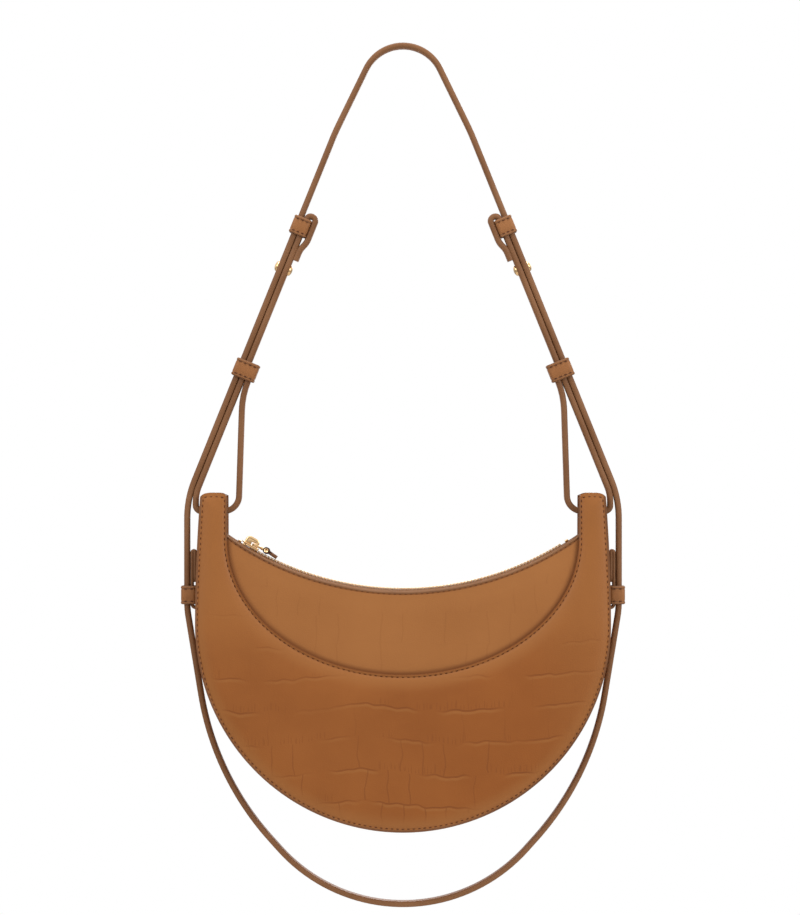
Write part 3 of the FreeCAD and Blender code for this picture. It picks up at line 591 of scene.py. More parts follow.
# The yoke's colours are lighter than the crescents' partly as painted light falling from above; its weak
# emboss lightens it further, and painted shade lies along the zip's sewing line
yoke_leather = leather_finish(
    "yoke_leather", (147, 91, 45), (156, 99, 51), 1300, 0.12 * MM,
    emboss_shade_and_highlight=((116, 66, 30), (168, 111, 62)), rows=0.1, divisions=0.5, zip_shade_share=0.7)


def zip_edge(share):
    """Front-view point on the zip's arc, from the left horn to the right one."""
    x = yoke_reach * (2 * share - 1)
    return front_point(x, zip_centre_z - math.sqrt(zip_radius ** 2 - x ** 2))


def lap_edge(share):
    """Front-view point on the yoke's hidden lower edge."""
    angle = math.pi * share
    x = -(seam_half_width + yoke_lap) * math.cos(angle)
    return front_point(x, seam_centre_z - (seam_height + yoke_lap) * math.sin(angle))


def yoke_width(along):
    return (lap_edge(along) - zip_edge(along)).length


def yoke_surface(along, to_zip, face):
    """Point on a yoke's outer face a distance below the zip's edge, and how strong the emboss is there."""
    upper = zip_edge(along)
    point = upper + (lap_edge(along) - upper) * (to_zip / yoke_width(along))
    roll = yoke_roll_height * math.sqrt(max(1 - (to_zip / yoke_roll - 1) ** 2, 0.0))
    sewn = yoke_sewn_depth * groove(to_zip - zip_stitch_inset, yoke_sewn_width)
    point.y = face * (half_depth(point.z) - panel_leather - yoke_gap + roll - sewn)
    return point, yoke_emboss * smooth_step(*yoke_emboss_top, to_zip)


for side_name, face in front_and_back:
    shape, strengths = panel_sheet(yoke_columns, yoke_rows, yoke_surface, yoke_width, face)
    for rolled_face in shape.faces[:][:rolled_rows * yoke_columns]:
        rolled_face.material_index = 1
    panel_piece(
        shape, strengths, side_name + "_yoke", [yoke_leather, edge_paint],
        side_name + "_yoke_panel", yoke_leather_thick)

# Sewing thread: dark waxed thread along the crescents' rims, seams and horn tops, and along the yokes.
# Each stitch is a small bead that lies in the sewing line, a fixed step after the last one.
stitch_step = 3.8 * MM
stitch_half = Vector((1.1, 0.38, 0.36)) * MM
stitch_lift = 0.12 * MM
yoke_stitch_lift = -0.1 * MM
horn_top_row = 0.08 * horn_share
row_points = 900
top_row_points = 30
thread = leather_finish("thread", (74, 34, 12), (98, 50, 20), 2500, 0.08 * MM)
bead = bmesh.new()
bead_size = Matrix.Diagonal((*stitch_half, 1.0))
bmesh.ops.create_uvsphere(bead, u_segments=6, v_segments=4, radius=1.0, matrix=bead_size)
bead.verts.index_update()
bead_corners = [vert.co.copy() for vert in bead.verts]
bead_faces = [[vert.index for vert in face.verts] for face in bead.faces]
bead.free()


def sew_row(shape, points, normal_at, thread_slot=0, lift=stitch_lift):
    """Add stitches a fixed step apart along a line of close points on a face."""
    lengths = [0.0]
    for before, after in zip(points, points[1:]):
        lengths.append(lengths[-1] + (after - before).length)
    count = max(1, round(lengths[-1] / stitch_step))
    index = 0
    corners, faces = [], []
    for number in range(count):
        target = lengths[-1] * (number + 0.5) / count
        while lengths[index + 1] < target:
            index += 1
        share = (target - lengths[index]) / (lengths[index + 1] - lengths[index])
        place = points[index].lerp(points[index + 1], share)
        heading = (points[index + 1] - points[index]).normalized()
        normal = normal_at(heading)
        across = normal.cross(heading).normalized()
        turn = Matrix((heading, across, heading.cross(across))).transposed()
        first = len(corners)
        corners += [place + normal * lift + turn @ corner for corner in bead_corners]
        faces += [[first + corner for corner in face] for face in bead_faces]
    row_mesh = bpy.data.meshes.new("stitches")
    row_mesh.from_pydata(corners, [], faces)
    row_mesh.polygons.foreach_set("material_index", [thread_slot] * len(faces))
    shape.from_mesh(row_mesh)
    bpy.data.meshes.remove(row_mesh)


def thread_piece(name, rows, face, lift=stitch_lift):
    """Rows of stitches on one face of the bag, as one piece of thread."""
    shape = bmesh.new()
    for points in rows:
        sew_row(shape, points, lambda heading: Vector((0, face, 0)), lift=lift)
    make_piece(shape, name, [thread])


row_shares = [index / row_points for index in range(row_points + 1)]
crescent_shares = [horn_top_row + (1 - 2 * horn_top_row) * share for share in row_shares]
for side_name, face in front_and_back:
    rim_row = []
    for along in crescent_shares:
        rim_row.append(crescent_surface(along, crescent_width(along) - rim_stitch_inset, face)[0])
    seam_rows = [[crescent_surface(along, seam_stitch_inset, face)[0] for along in crescent_shares]]
    for along in (horn_top_row, 1 - horn_top_row):
        reach = crescent_width(along) - rim_stitch_inset - seam_stitch_inset
        steps = [seam_stitch_inset + reach * index / top_row_points for index in range(top_row_points + 1)]
        seam_rows.append([crescent_surface(along, step, face)[0] for step in steps])
    zip_row = [yoke_surface(share, zip_stitch_inset, face)[0] for share in row_shares]
    thread_piece("rim_thread_" + side_name, [rim_row], face)
    thread_piece("seam_thread_" + side_name, seam_rows, face)
    thread_piece("yoke_thread_" + side_name, [zip_row], face, yoke_stitch_lift)

# Outer gusset: one leather strip 1.5 mm thick round the sides and base, between the two crescents.
# Its long edges are turned out as flanges, sewn to the crescents and painted with them,
# and a slot near each horn's tip lets the horn strap through.
gusset_leather_thick = 1.5 * MM
gusset_edge_round = 0.2 * MM
gusset_gap = 0.05 * MM
gusset_bow = 0.8 * MM
gusset_end_z = -291.5 * MM
gusset_columns = 300
gusset_wall_rows = 21
gusset_slot_x = (130.0 * MM, 160.0 * MM)
flange_width = 3.4 * MM
flange_turn = 1.2 * MM
flange_section = [(0.0, 0.0), (0.25, 0.0), (0.5, 0.0), (0.72, 0.0), (0.9, 0.06), (0.97, 0.25), (1.0, 0.6)]
slot_centre_z = -297.5 * MM
slot_half_height = 5.55 * MM
slot_half_width = 7.4 * MM
gusset_leather = leather_finish(
    "gusset_leather", (146, 90, 48), (160, 103, 58), 1300, 0.12 * MM, shine=0.06)


def flanged_strip(columns, wall_rows, frame_at, outward):
    """A strip turned out at the bag's faces and bowed a little between them.

    It follows a line of edge points, each with its inward direction and its flange's width. Across it,
    each row has its share of the flange's width, its place in depth and, on a flange, its share of the turn.
    """
    profile = [(inset, -1.0, lift) for inset, lift in flange_section]
    profile += [(1.0, -1 + 2 * (number + 1) / (wall_rows + 1), None) for number in range(wall_rows)]
    profile += [(inset, 1.0, lift) for inset, lift in reversed(flange_section)]

    def place(along, across):
        edge, inward, width = frame_at(along)
        inset, depth_share, lift = profile[round(across * (len(profile) - 1))]
        point = edge + inward * (width * inset)
        face_depth = half_depth(point.z) - panel_leather - gusset_gap
        if lift is None:
            point += inward * (gusset_bow * (1 - depth_share ** 2))
            point.y = depth_share * (face_depth - flange_turn)
        else:
            point.y = depth_share * (face_depth - lift * flange_turn)
        return point

    return leather_sheet(columns, len(profile) - 1, place, outward)


def delete_faces(shape, chosen):
    """Delete the faces whose middle a test chooses."""
    faces = [face for face in shape.faces if chosen(face.calc_center_median())]
    bmesh.ops.delete(shape, geom=faces, context="FACES")


def cut_slot(shape, x_from, x_to):
    """Cut the window for a horn strap through a sheet between two places across the bag."""
    low = Vector((x_from, -slot_half_width, slot_centre_z - slot_half_height))
    high = Vector((x_to, slot_half_width, slot_centre_z + slot_half_height))
    for axis in range(3):
        normal = Vector([1 if index == axis else 0 for index in range(3)])
        for corner in (low, high):
            geometry = shape.verts[:] + shape.edges[:] + shape.faces[:]
            bmesh.ops.bisect_plane(shape, geom=geometry, plane_co=corner, plane_no=normal, dist=1e-7)
    delete_faces(shape, lambda centre: all(low[axis] < centre[axis] < high[axis] for axis in range(3)))


gusset_shape = flanged_strip(
    gusset_columns, gusset_wall_rows, lambda share: (*rim_frame(share, gusset_end_z), flange_width),
    Vector((0, 0, -1)))
cut_slot(gusset_shape, -gusset_slot_x[1], -gusset_slot_x[0])
cut_slot(gusset_shape, *gusset_slot_x)
sheet_piece(
    gusset_shape, "gusset_strip", [gusset_leather, edge_paint], "outer_gusset",
    gusset_leather_thick, gusset_edge_round)

# Horn gussets, left and right: a leather strip over each horn's top and down its inner side.
# It has the same sewn flanges as the outer gusset and a slot for the horn strap,
# and its foot hangs free inside the bag behind the yoke's corner.
horn_wall_foot_z = -330.0 * MM
horn_flange_foot_z = -316.5 * MM
horn_wall_top_z = -290.0 * MM
horn_wall_x = seam_half_width + flange_width
horn_wall_turn = 1.6 * MM
horn_wall_rows = 9
horn_columns = 64
horn_climb_share = 0.55
horn_corner_share = 0.75
horn_slot_x = (125.0 * MM, 130.0 * MM)
horn_foot_trim_x = horn_wall_x - 0.2 * MM


def horn_strip_frame(share):
    """Edge line, inward direction and flange width along a right-hand horn strip, from foot to rim."""
    turn_centre = front_point(horn_wall_x + horn_wall_turn, horn_wall_top_z - horn_wall_turn)
    outer_x = rim_x(horn_corner_z)
    if share < horn_climb_share:
        z = horn_wall_foot_z + (turn_centre.z - horn_wall_foot_z) * share / horn_climb_share
        return front_point(seam_half_width, z), front_point(1, 0), flange_width
    if share < horn_corner_share:
        turn = (share - horn_climb_share) / (horn_corner_share - horn_climb_share)
        angle = turn * math.pi / 2
        wall = turn_centre + front_point(-math.cos(angle), math.sin(angle)) * horn_wall_turn
        x = seam_half_width + (turn_centre.x - seam_half_width) * max(2 * turn - 1, 0.0)
        z = turn_centre.z + (horn_corner_z - turn_centre.z) * min(2 * turn, 1.0)
    else:
        top = (share - horn_corner_share) / (1 - horn_corner_share)
        x = turn_centre.x + (outer_x - turn_centre.x) * top
        wall = front_point(x, horn_wall_top_z)
        z = horn_corner_z
    arch = horn_top_arch((x - seam_half_width) / (outer_x - seam_half_width))
    edge = front_point(x, z + horn_arch * arch)
    reach = wall - edge
    return edge, reach.normalized(), reach.length


def turn_over(shape):
    bmesh.ops.reverse_faces(shape, faces=shape.faces[:])


def mirror_to_left(shape):
    bmesh.ops.scale(shape, verts=shape.verts[:], vec=(-1, 1, 1))
    turn_over(shape)


for side_name, side in left_and_right:
    shape = flanged_strip(horn_columns, horn_wall_rows, horn_strip_frame, Vector((0, 0, 1)))
    delete_faces(shape, lambda centre: centre.z < horn_flange_foot_z and centre.x < horn_foot_trim_x)
    cut_slot(shape, *horn_slot_x)
    shape.normal_update()
    wall_face = min(shape.faces, key=lambda face: face.calc_center_median().z)
    if wall_face.normal.x > 0:
        turn_over(shape)
    if side < 0:
        mirror_to_left(shape)
    sheet_piece(
        shape, "horn_gusset_strip_" + side_name, [gusset_leather, edge_paint], "horn_gusset_" + side_name,
        gusset_leather_thick, gusset_edge_round)

# Stiffener boards: bonded leather fibre board 1 mm thick, glued inside each crescent.
# They end short of the seams, so that only leather is sewn.
board_thick = 1.0 * MM
board_inset = 5.2 * MM
board_lap = 8.3 * MM
board_gap = 0.02 * MM
board_top_z = seam_centre_z - 0.3 * MM
board_grid = (120, 24)
inside_edge_round = 0.1 * MM
fibre_board = leather_finish("fibre_board", (112, 82, 55), (134, 100, 68), 600, 0.2 * MM)
for side_name, face in front_and_back:

    def place_board(along, across):
        inner, outer = crescent_spoke(horn_share + along * (1 - 2 * horn_share))
        width = (outer - inner).length
        reach = board_lap + across * (width - board_inset - board_lap)
        point = inner + (outer - inner) / width * reach
        point.z = min(point.z, board_top_z)
        point.y = face * (half_depth(point.z) - panel_leather - board_gap)
        return point

    sheet_piece(
        leather_sheet(*board_grid, place_board, Vector((0, face, 0))), side_name + "_board", [fibre_board],
        side_name + "_stiffener_board", board_thick, inside_edge_round)

# Lining: cotton twill sewn as a bag of its own and hung inside the leather, open along the zip.
# It is one sheet here, down the front, across the base and up the back, with soft puckers.
lining_offset = 4.3 * MM
lining_thick = 0.6 * MM
lining_inset = 5.2 * MM
lining_top_z = seam_centre_z - 1.0 * MM
lining_hang = 0.8 * MM
lining_pucker = 0.5 * MM
puckers_round = 30
puckers_down = 18
pucker_seed = 4.0
lining_end_share = 0.055
lining_columns = 150
side_rows, base_rows = 22, 10
lining_rows = 2 * side_rows + base_rows
cloth_bump = 0.5
cloth_depth = 0.15 * MM
cloth_fades_per_metre = 60.0

# Cloth weave: crossing threads for the bump and a slow fade for the colour
cloth_weave, weave_in, weave_out = effect_group(
    "cloth_weave", [("Threads per metre", 1600.0), ("Slant", 0.5)], ["Height", "Tone"])
weave_place = object_place(cloth_weave)
weave_turn = add_node(cloth_weave, "ShaderNodeVectorRotate", rotation_type="AXIS_ANGLE", links=[
    ("Vector", weave_place), ("Axis", (0.0, 1.0, 0.0)), ("Angle", weave_in["Slant"])])
weave_size = add_node(cloth_weave, "ShaderNodeVectorMath", operation="SCALE", links=[
    (0, weave_turn.outputs["Vector"]), ("Scale", weave_in["Threads per metre"])])
weave_axes = add_node(
    cloth_weave, "ShaderNodeSeparateXYZ", [("Vector", weave_size.outputs["Vector"])]).outputs
weft, warp = [calc(cloth_weave, "SINE", weave_axes[axis]) for axis in "XZ"]
plug(cloth_weave, weave_out, [
    ("Height", calc(cloth_weave, "MULTIPLY", weft, warp)),
    ("Tone", spots(cloth_weave, weave_place, cloth_fades_per_metre, 4.0))])


def cloth_finish(name, dark, light, threads_per_metre, slant):
    """Woven cloth between two colours, with its threads in the bump."""
    material, tree, shader = new_finish(name)
    weave = add_node(tree, "ShaderNodeGroup", node_tree=cloth_weave, links=[
        ("Threads per metre", threads_per_metre), ("Slant", slant)]).outputs
    plug(tree, shader, [
        ("Base Color", mixed(tree, weave["Tone"], srgb(*dark), srgb(*light))),
        ("Normal", bumped(tree, weave["Height"], cloth_bump, cloth_depth).outputs["Normal"]),
        ("Roughness", 0.85), ("Specular IOR Level", 0.1)])
    return material


lining_cloth = cloth_finish("lining_cloth", (126, 96, 68), (150, 118, 86), 9000, 0.6)


def place_lining(along, across):
    """Point of the lining: down the front from the zip's edge, across the base and up the back."""
    upper = zip_edge(along)
    upper.z = min(upper.z, lining_top_z) - lining_hang
    rim, inward = rim_frame(lining_end_share + along * (1 - 2 * lining_end_share), gusset_end_z)
    lower = rim + inward * lining_inset
    row_number = round(across * lining_rows)
    ripple = noise.noise(Vector((along * puckers_round, across * puckers_down, pucker_seed)))
    if side_rows < row_number < lining_rows - side_rows:
        lower.y = (2 * (row_number - side_rows) / base_rows - 1) * (half_depth(lower.z) - lining_offset)
        return lower
    face = -1 if row_number <= side_rows else 1
    share = min(row_number, lining_rows - row_number) / side_rows
    point = upper + (lower - upper) * share
    pucker = lining_pucker * abs(ripple) * math.sin(math.pi * share)
    point.y = face * (half_depth(point.z) - lining_offset - pucker)
    return point


sheet_piece(
    leather_sheet(lining_columns, lining_rows, place_lining, Vector((0, 0, -1))), "twill_lining",
    [lining_cloth], "lining", lining_thick, inside_edge_round)

# Slip pockets, front and back: two layers of the lining's twill with a folded top edge,
# sewn flat to the lining round three sides, with rounded lower corners.
pocket_half_width = 55.0 * MM
pocket_top_z = -378.0 * MM
pocket_height = 74.0 * MM
pocket_corner = 10.0 * MM
pocket_offset = 5.0 * MM
pocket_thick = 0.8 * MM
pocket_hem = 0.25 * MM
pocket_hem_edge = (7 * MM, 8 * MM)
pocket_grid = (60, 48)
for side_name, face in front_and_back:

    def place_pocket(along, across):
        drop = pocket_height * across
        into_corner = max(drop - (pocket_height - pocket_corner), 0.0)
        half_width = pocket_half_width - pocket_corner + math.sqrt(pocket_corner ** 2 - into_corner ** 2)
        point = front_point(half_width * (2 * along - 1), pocket_top_z - drop)
        hem = pocket_hem * (1 - smooth_step(*pocket_hem_edge, drop))
        point.y = face * (half_depth(point.z) - pocket_offset - hem)
        return point

    shape = leather_sheet(*pocket_grid, place_pocket, Vector((0, face, 0)))
    bmesh.ops.remove_doubles(shape, verts=shape.verts[:], dist=1e-6)
    sheet_piece(
        shape, side_name + "_pocket", [lining_cloth], side_name + "_slip_pocket",
        pocket_thick, inside_edge_round)

# Long strap: two layers of leather glued and sewn to 14 by 3.8 mm, with painted edges.
# It runs from one lower keeper over the crown to the other, on edge to the viewer,
# so that the front view shows the paint and the fine line between the layers.
strap_width = 14.0 * MM
strap_thick = 3.8 * MM
strand_spacing = 4.3 * MM
crown_radius = 28.8 * MM
crown_lean = math.radians(26.0)
crown_bend_z = -31.5 * MM
crown_bend_radius = 150.0 * MM
outer_strand_x = 145.29 * MM
side_strand_x = outer_strand_x + strand_spacing + 1.7 * MM
side_corner_z = horn_top_z - 4.0 * MM
upper_keeper_z = 0.341 * horn_top_z
stud_z = 0.444 * horn_top_z
lower_keeper_z = 0.692 * horn_top_z
edge_dome = 0.9 * MM
edge_roundness = 2.5
grooved_edge_steps = 10
plain_edge_steps = 6
fewest_arc_steps = 3
layer_line = 0.75 * MM
layer_line_width = 0.28 * MM
layer_groove = 0.16 * MM
strap_bulge = 0.245 * MM
strap_seam_inset = 2.2 * MM
strap_seam_sunk = -0.22 * MM
seam_spacing = 1.0 * MM
strap_sharp = 40
edge_facing = 0.35
smallest_run = 0.001 * MM
ring_merge = 0.05 * MM
crown_apex_z = crown_radius / math.sin(crown_lean)
crown_bend_x = (crown_apex_z - crown_bend_z) * math.tan(crown_lean)
strap_lean = math.atan((side_strand_x - crown_bend_x) / (crown_bend_z - side_corner_z))
strap_pad = [(0.0, strap_bulge), (0.3, 0.9 * strap_bulge), (0.6, 0.4 * strap_bulge)]
strap_leather = leather_finish("strap_leather", (134, 84, 45), (148, 96, 53), 1200, 0.12 * MM)
strap_paint = leather_finish("strap_paint", (121, 81, 51), (140, 98, 66), 900, 0.15 * MM)


def leaning(lean):
    """Directions outward and down beside a strap that leans."""
    return front_point(math.cos(lean), math.sin(lean)), front_point(math.sin(lean), -math.cos(lean))


def strand_at(z, number):
    """Point on a strand at a height."""
    x = crown_bend_x + (crown_bend_z - z) * math.tan(strap_lean)
    return front_point(x - number * strand_spacing / math.cos(strap_lean), z)


def along_strap(z, number, drop):
    """Point on a strand beside the long strap, a distance down its lean from a height on strand 0."""
    outward, down = leaning(strap_lean)
    return strand_at(z, 0) - outward * (number * strand_spacing) + down * drop


def mirrored(points):
    return [front_point(-point.x, point.z) for point in points]


def on_side(points, side):
    """A right-hand route, or its mirror image on the left."""
    return points if side > 0 else mirrored(points)


def beside(heading):
    """Direction to the left of a heading, as seen from the front."""
    return front_point(-heading.z, heading.x)


def strap_frame(point, heading):
    """Matrix from a strap's own axes, X to its left, Y in depth and Z ahead, to a place on its route."""
    return Matrix.Translation(point) @ Matrix((beside(heading), (0, 1, 0), heading)).transposed().to_4x4()


def route_frames(points, radii, step_length, arc_step=360.0):
    """Frames along a route whose corners are rounded to tangent arcs."""
    heading = (points[1] - points[0]).normalized()
    frames = [strap_frame(points[0], heading)]

    def go_straight(end):
        start = frames[-1].translation
        path = end - start
        if path.length < smallest_run:
            return
        steps = max(1, round(path.length / step_length))
        frames.extend(strap_frame(start + path * ((step + 1) / steps), heading) for step in range(steps))

    for corner, after, radius in zip(points[1:], points[2:], radii):
        next_heading = (after - corner).normalized()
        turn = heading.angle(next_heading)
        axis = heading.cross(next_heading).normalized()
        arc_start = corner - heading * (radius * math.tan(turn / 2))
        centre = arc_start + axis.cross(heading) * radius
        go_straight(arc_start)
        by_angle = round(math.degrees(turn) / arc_step)
        by_length = round(turn * radius / step_length)
        steps = max(by_angle, by_length, fewest_arc_steps)
        for step in range(steps):
            spin = Matrix.Rotation(turn * (step + 1) / steps, 3, axis)
            frames.append(strap_frame(centre + spin @ (arc_start - centre), spin @ heading))
        heading = next_heading
    go_straight(points[-1])
    return frames


def strap_profile(width, thick, groove_side, dome, line_depth, pad):
    """Across a strap: domed painted edges with the groove between its two leathers, and padded faces.

    A pad is a row of places between the middle of a face and its edge, as shares, each with its rise.
    """
    half_width, half_thick = width / 2, thick / 2
    steps = grooved_edge_steps if line_depth else plain_edge_steps
    points = []
    for edge in (-1, 1):
        for step in range(steps + 1):
            side = math.cos(math.pi * step / steps) * edge
            swell = dome * (1 - abs(side) ** edge_roundness)
            line_place = side * half_thick * groove_side - (half_thick - 2 * layer_line)
            dip = line_depth * groove(line_place, layer_line_width)
            points.append((side * half_thick, edge * (half_width - dome + swell - dip)))
        face = list(reversed(pad)) + [(-share, rise) for share, rise in pad if share]
        for share, rise in face:
            points.append((-edge * (half_thick + rise), edge * half_width * share))
    return points


def only(kind, geometry):
    return [item for item in geometry if isinstance(item, kind)]


def sweep_strap(points, radii, width, thick, groove_side=1, step_length=5.0 * MM, arc_step=5.0,
                dome=edge_dome, line_depth=layer_groove, pad=(), closed=False):
    """A strap drawn along a route: its section is extruded from each frame to the next."""
    shape = bmesh.new()
    frames = route_frames(points, radii, step_length, arc_step)
    profile = strap_profile(width, thick, groove_side, dome, line_depth, pad)
    start_cap = shape.faces.new([shape.verts.new(frames[0] @ Vector((*spot, 0))) for spot in profile])
    edges = start_cap.edges[:]
    for before, after in zip(frames, frames[1:]):
        made = bmesh.ops.extrude_edge_only(shape, edges=edges)["geom"]
        moved = set(only(bmesh.types.BMVert, made))
        edges = [edge for edge in only(bmesh.types.BMEdge, made) if moved.issuperset(edge.verts)]
        bmesh.ops.transform(shape, matrix=after @ before.inverted(), verts=list(moved))
    if closed:
        bmesh.ops.delete(shape, geom=[start_cap], context="FACES_ONLY")
        bmesh.ops.remove_doubles(shape, verts=shape.verts[:], dist=ring_merge)
    else:
        bmesh.ops.edgeloop_fill(shape, edges=edges)
    bmesh.ops.recalc_face_normals(shape, faces=shape.faces[:])
    for face in shape.faces:
        face.material_index = 1 if abs(face.normal.y) > edge_facing else 0
    return shape


def sewn_strap(name, node, points, radii, groove_side=1, body="strap", step_length=5.0 * MM):
    """A length of strap along a route, sewn along both edges of each broad face."""
    shape = sweep_strap(
        points, radii, strap_width, strap_thick, groove_side, step_length=step_length, pad=strap_pad)
    frames = route_frames(points, radii, seam_spacing)[:-1]
    for face in (-1, 1):
        for edge in (-1, 1):
            spot = Vector((face * strap_thick / 2, edge * (strap_width / 2 - strap_seam_inset), 0))
            row = [frame @ spot for frame in frames]
            sew_row(shape, row, lambda heading: beside(heading) * face, thread_slot=2, lift=strap_seam_sunk)
    materials = [strap_leather, strap_paint, thread]
    return make_piece(shape, name, materials, node, body, sharp=strap_sharp)


strap_end = along_strap(lower_keeper_z, 0, 0)
right_half = [front_point(crown_bend_x, crown_bend_z), strap_end]
shoulder_route = mirrored(right_half[::-1]) + [front_point(0, crown_apex_z)] + right_half
sewn_strap(
    "shoulder_strap_leather", "shoulder_strap", shoulder_route,
    [crown_bend_radius, crown_radius, crown_bend_radius])

# Side strands: the long strap goes on from each lower keeper, straightens beside the horn
# and runs down to the side keeper. They are not attached to any body.
side_strand_bend = 70.0 * MM
side_strand_step = 3.0 * MM
side_keeper_z = body_centre_z + 19.6 * MM
side_route = [strap_end] + [front_point(side_strand_x, z) for z in (side_corner_z, side_keeper_z)]
for side_name, side in left_and_right:
    strand = sewn_strap(
        "side_strand_" + side_name, "strap_side_strand_" + side_name, on_side(side_route, side),
        [side_strand_bend], side, None, side_strand_step)
    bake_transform(strand)

# Slack loop: the rest of the long strap hangs under the bag from one side keeper to the other,
# in the open curve that stiff strap leather takes.
loop_lean = math.radians(9.3)
loop_base_lean = math.radians(42.0)
loop_bend = front_point(side_strand_x, side_keeper_z - 10.0 * MM)
loop_bend_radius = 60.0 * MM
loop_drop = 117.4 * MM
loop_side_share = 0.297
loop_base_share = 0.653
loop_side = front_point(loop_bend.x - loop_drop * math.tan(loop_lean), loop_bend.z - loop_drop)
loop_foot = front_point(0, loop_side.z - loop_side.x / math.tan(loop_base_lean))
base_run = loop_side.x / math.sin(loop_base_lean)
loop_side_radius = loop_side_share * base_run / math.tan((loop_base_lean - loop_lean) / 2)
loop_base_radius = loop_base_share * base_run * math.tan(loop_base_lean)
loop_half = [front_point(side_strand_x, side_keeper_z), loop_bend, loop_side]
half_radii = [loop_bend_radius, loop_side_radius]
sewn_strap(
    "slack_loop_leather", "strap_base_loop", loop_half + [loop_foot] + mirrored(loop_half[::-1]),
    half_radii + [loop_base_radius] + half_radii[::-1], body="bag")

# Horn straps, left and right: shorter straps of the same leather. Each starts in the lower keeper,
# goes down and through the slots in its horn, comes up outside beside the long strap,
# and folds back round the upper keeper with its end sewn to itself.
keeper_height = 13.0 * MM
swing_z = slot_centre_z + 0.005 * MM
inner_strand_x = 115.3 * MM
inner_corner_z = lower_keeper_z - 19.0 * MM
outer_corner_z = crown_bend_z - (outer_strand_x - strand_at(crown_bend_z, 1).x) / math.tan(strap_lean)
fold_opening = 2.4 * MM
fold_squeeze = 0.15 * MM
fold_number = 1 + (strap_thick + fold_opening) / strand_spacing
merge_number = 1 + (strap_thick - fold_squeeze) / strand_spacing
fold_rise = 9.4 * MM
fold_radius = (fold_number - 1) * strand_spacing / 2 - fold_squeeze
below_keeper = keeper_height / 2
horn_corners = [
    (along_strap(lower_keeper_z, 2, -below_keeper), None),
    (strand_at(inner_corner_z, 2), 60.0 * MM),
    (front_point(inner_strand_x, swing_z), 11.0 * MM),
    (front_point(outer_strand_x, swing_z), 4.2 * MM),
    (front_point(outer_strand_x, outer_corner_z), 25.0 * MM),
    (along_strap(upper_keeper_z, 1, -fold_rise), fold_radius),
    (along_strap(upper_keeper_z, fold_number, -fold_rise), fold_radius),
    (along_strap(upper_keeper_z, fold_number, below_keeper + 2.5 * MM), 14.0 * MM),
    (along_strap(upper_keeper_z, merge_number, below_keeper + 8.5 * MM), 14.0 * MM),
    (along_strap(upper_keeper_z, merge_number, below_keeper + 17.0 * MM), None)]
horn_route = [corner for corner, radius in horn_corners]
horn_radii = [radius for corner, radius in horn_corners if radius]
for side_name, side in left_and_right:
    sewn_strap(
        "horn_strap_leather_" + side_name, "horn_strap_" + side_name, on_side(horn_route, side),
        horn_radii, -side)

# Keepers: leather rings 1.8 mm thick and 13 mm high round the strands, sewn along both edges.
# The upper ones hold two strands, and the lower ones three.
keeper_leather = 1.8 * MM
keeper_play = 0.27 * MM
keeper_corner = 1.5 * MM
keeper_dome = 0.45 * MM
keeper_seam_inset = 2.2 * MM
keeper_seam_end = 1.2 * MM
keeper_roll = 0.25 * MM
keeper_puff = 0.1 * MM
keeper_sewn_depth = 0.12 * MM
dip_reach = 0.12
roll_reach = 0.2
keeper_finish = leather_finish("keeper_leather", (150, 98, 58), (162, 109, 67), 1300, 0.12 * MM)
seam_share = 1 - 2 * keeper_seam_inset / keeper_height
keeper_pad = [
    (0.0, keeper_puff), (seam_share - dip_reach, keeper_puff), (seam_share, -keeper_sewn_depth),
    (seam_share + dip_reach, keeper_roll), (seam_share + roll_reach, keeper_roll)]
strand_half = strap_thick / 2 + keeper_play


def stand_on_strap(shape, centre, lean, side):
    """Move a piece made with X outward and Y down the strap to a place on the left or right strap."""
    turn = Matrix((*leaning(lean), (0, 1, 0))).transposed().to_4x4()
    bmesh.ops.transform(shape, matrix=Matrix.Translation(centre) @ turn, verts=shape.verts[:])
    if side < 0:
        mirror_to_left(shape)


def keeper(name, node, inner_from, centre, lean, side, body):
    """A sewn ring from a place inside its strands to the outer one, stood on a strap at a lean."""
    low = inner_from - keeper_leather / 2
    high = strand_half + keeper_leather / 2
    depth = strap_width / 2 + keeper_play + keeper_leather / 2
    middle = front_point((low + high) / 2, depth)
    corners = [front_point(x, z) for x, z in ((high, depth), (high, -depth), (low, -depth), (low, depth))]
    shape = sweep_strap(
        [middle] + corners + [middle], [keeper_corner] * 4, keeper_height, keeper_leather,
        arc_step=15.0, dome=keeper_dome, line_depth=0.0, pad=keeper_pad, closed=True)
    seam_from = min(vert.co.x for vert in shape.verts) + keeper_seam_end
    seam_to = max(vert.co.x for vert in shape.verts) - keeper_seam_end
    seam_middle = (seam_from + seam_to) / 2
    seam_depth = max(vert.co.z for vert in shape.verts)
    for face in (-1, 1):
        for edge in (-1, 1):
            y = edge * (keeper_height / 2 - keeper_seam_inset)
            row = [Vector((x, y, face * seam_depth)) for x in (seam_from, seam_middle, seam_to)]
            sew_row(shape, row, lambda heading: Vector((0, 0, face)), thread_slot=2)
    stand_on_strap(shape, centre, lean, side)
    make_piece(shape, name, [keeper_finish, edge_paint, thread], node, body)


for side_name, side in left_and_right:
    for place_name, z, strands in (("upper", upper_keeper_z, 2), ("lower", lower_keeper_z, 3)):
        node = place_name + "_keeper_" + side_name
        inner_from = -(strands - 1) * strand_spacing - strand_half
        keeper(node + "_ring", node, inner_from, strand_at(z, 0), strap_lean, side, "strap")

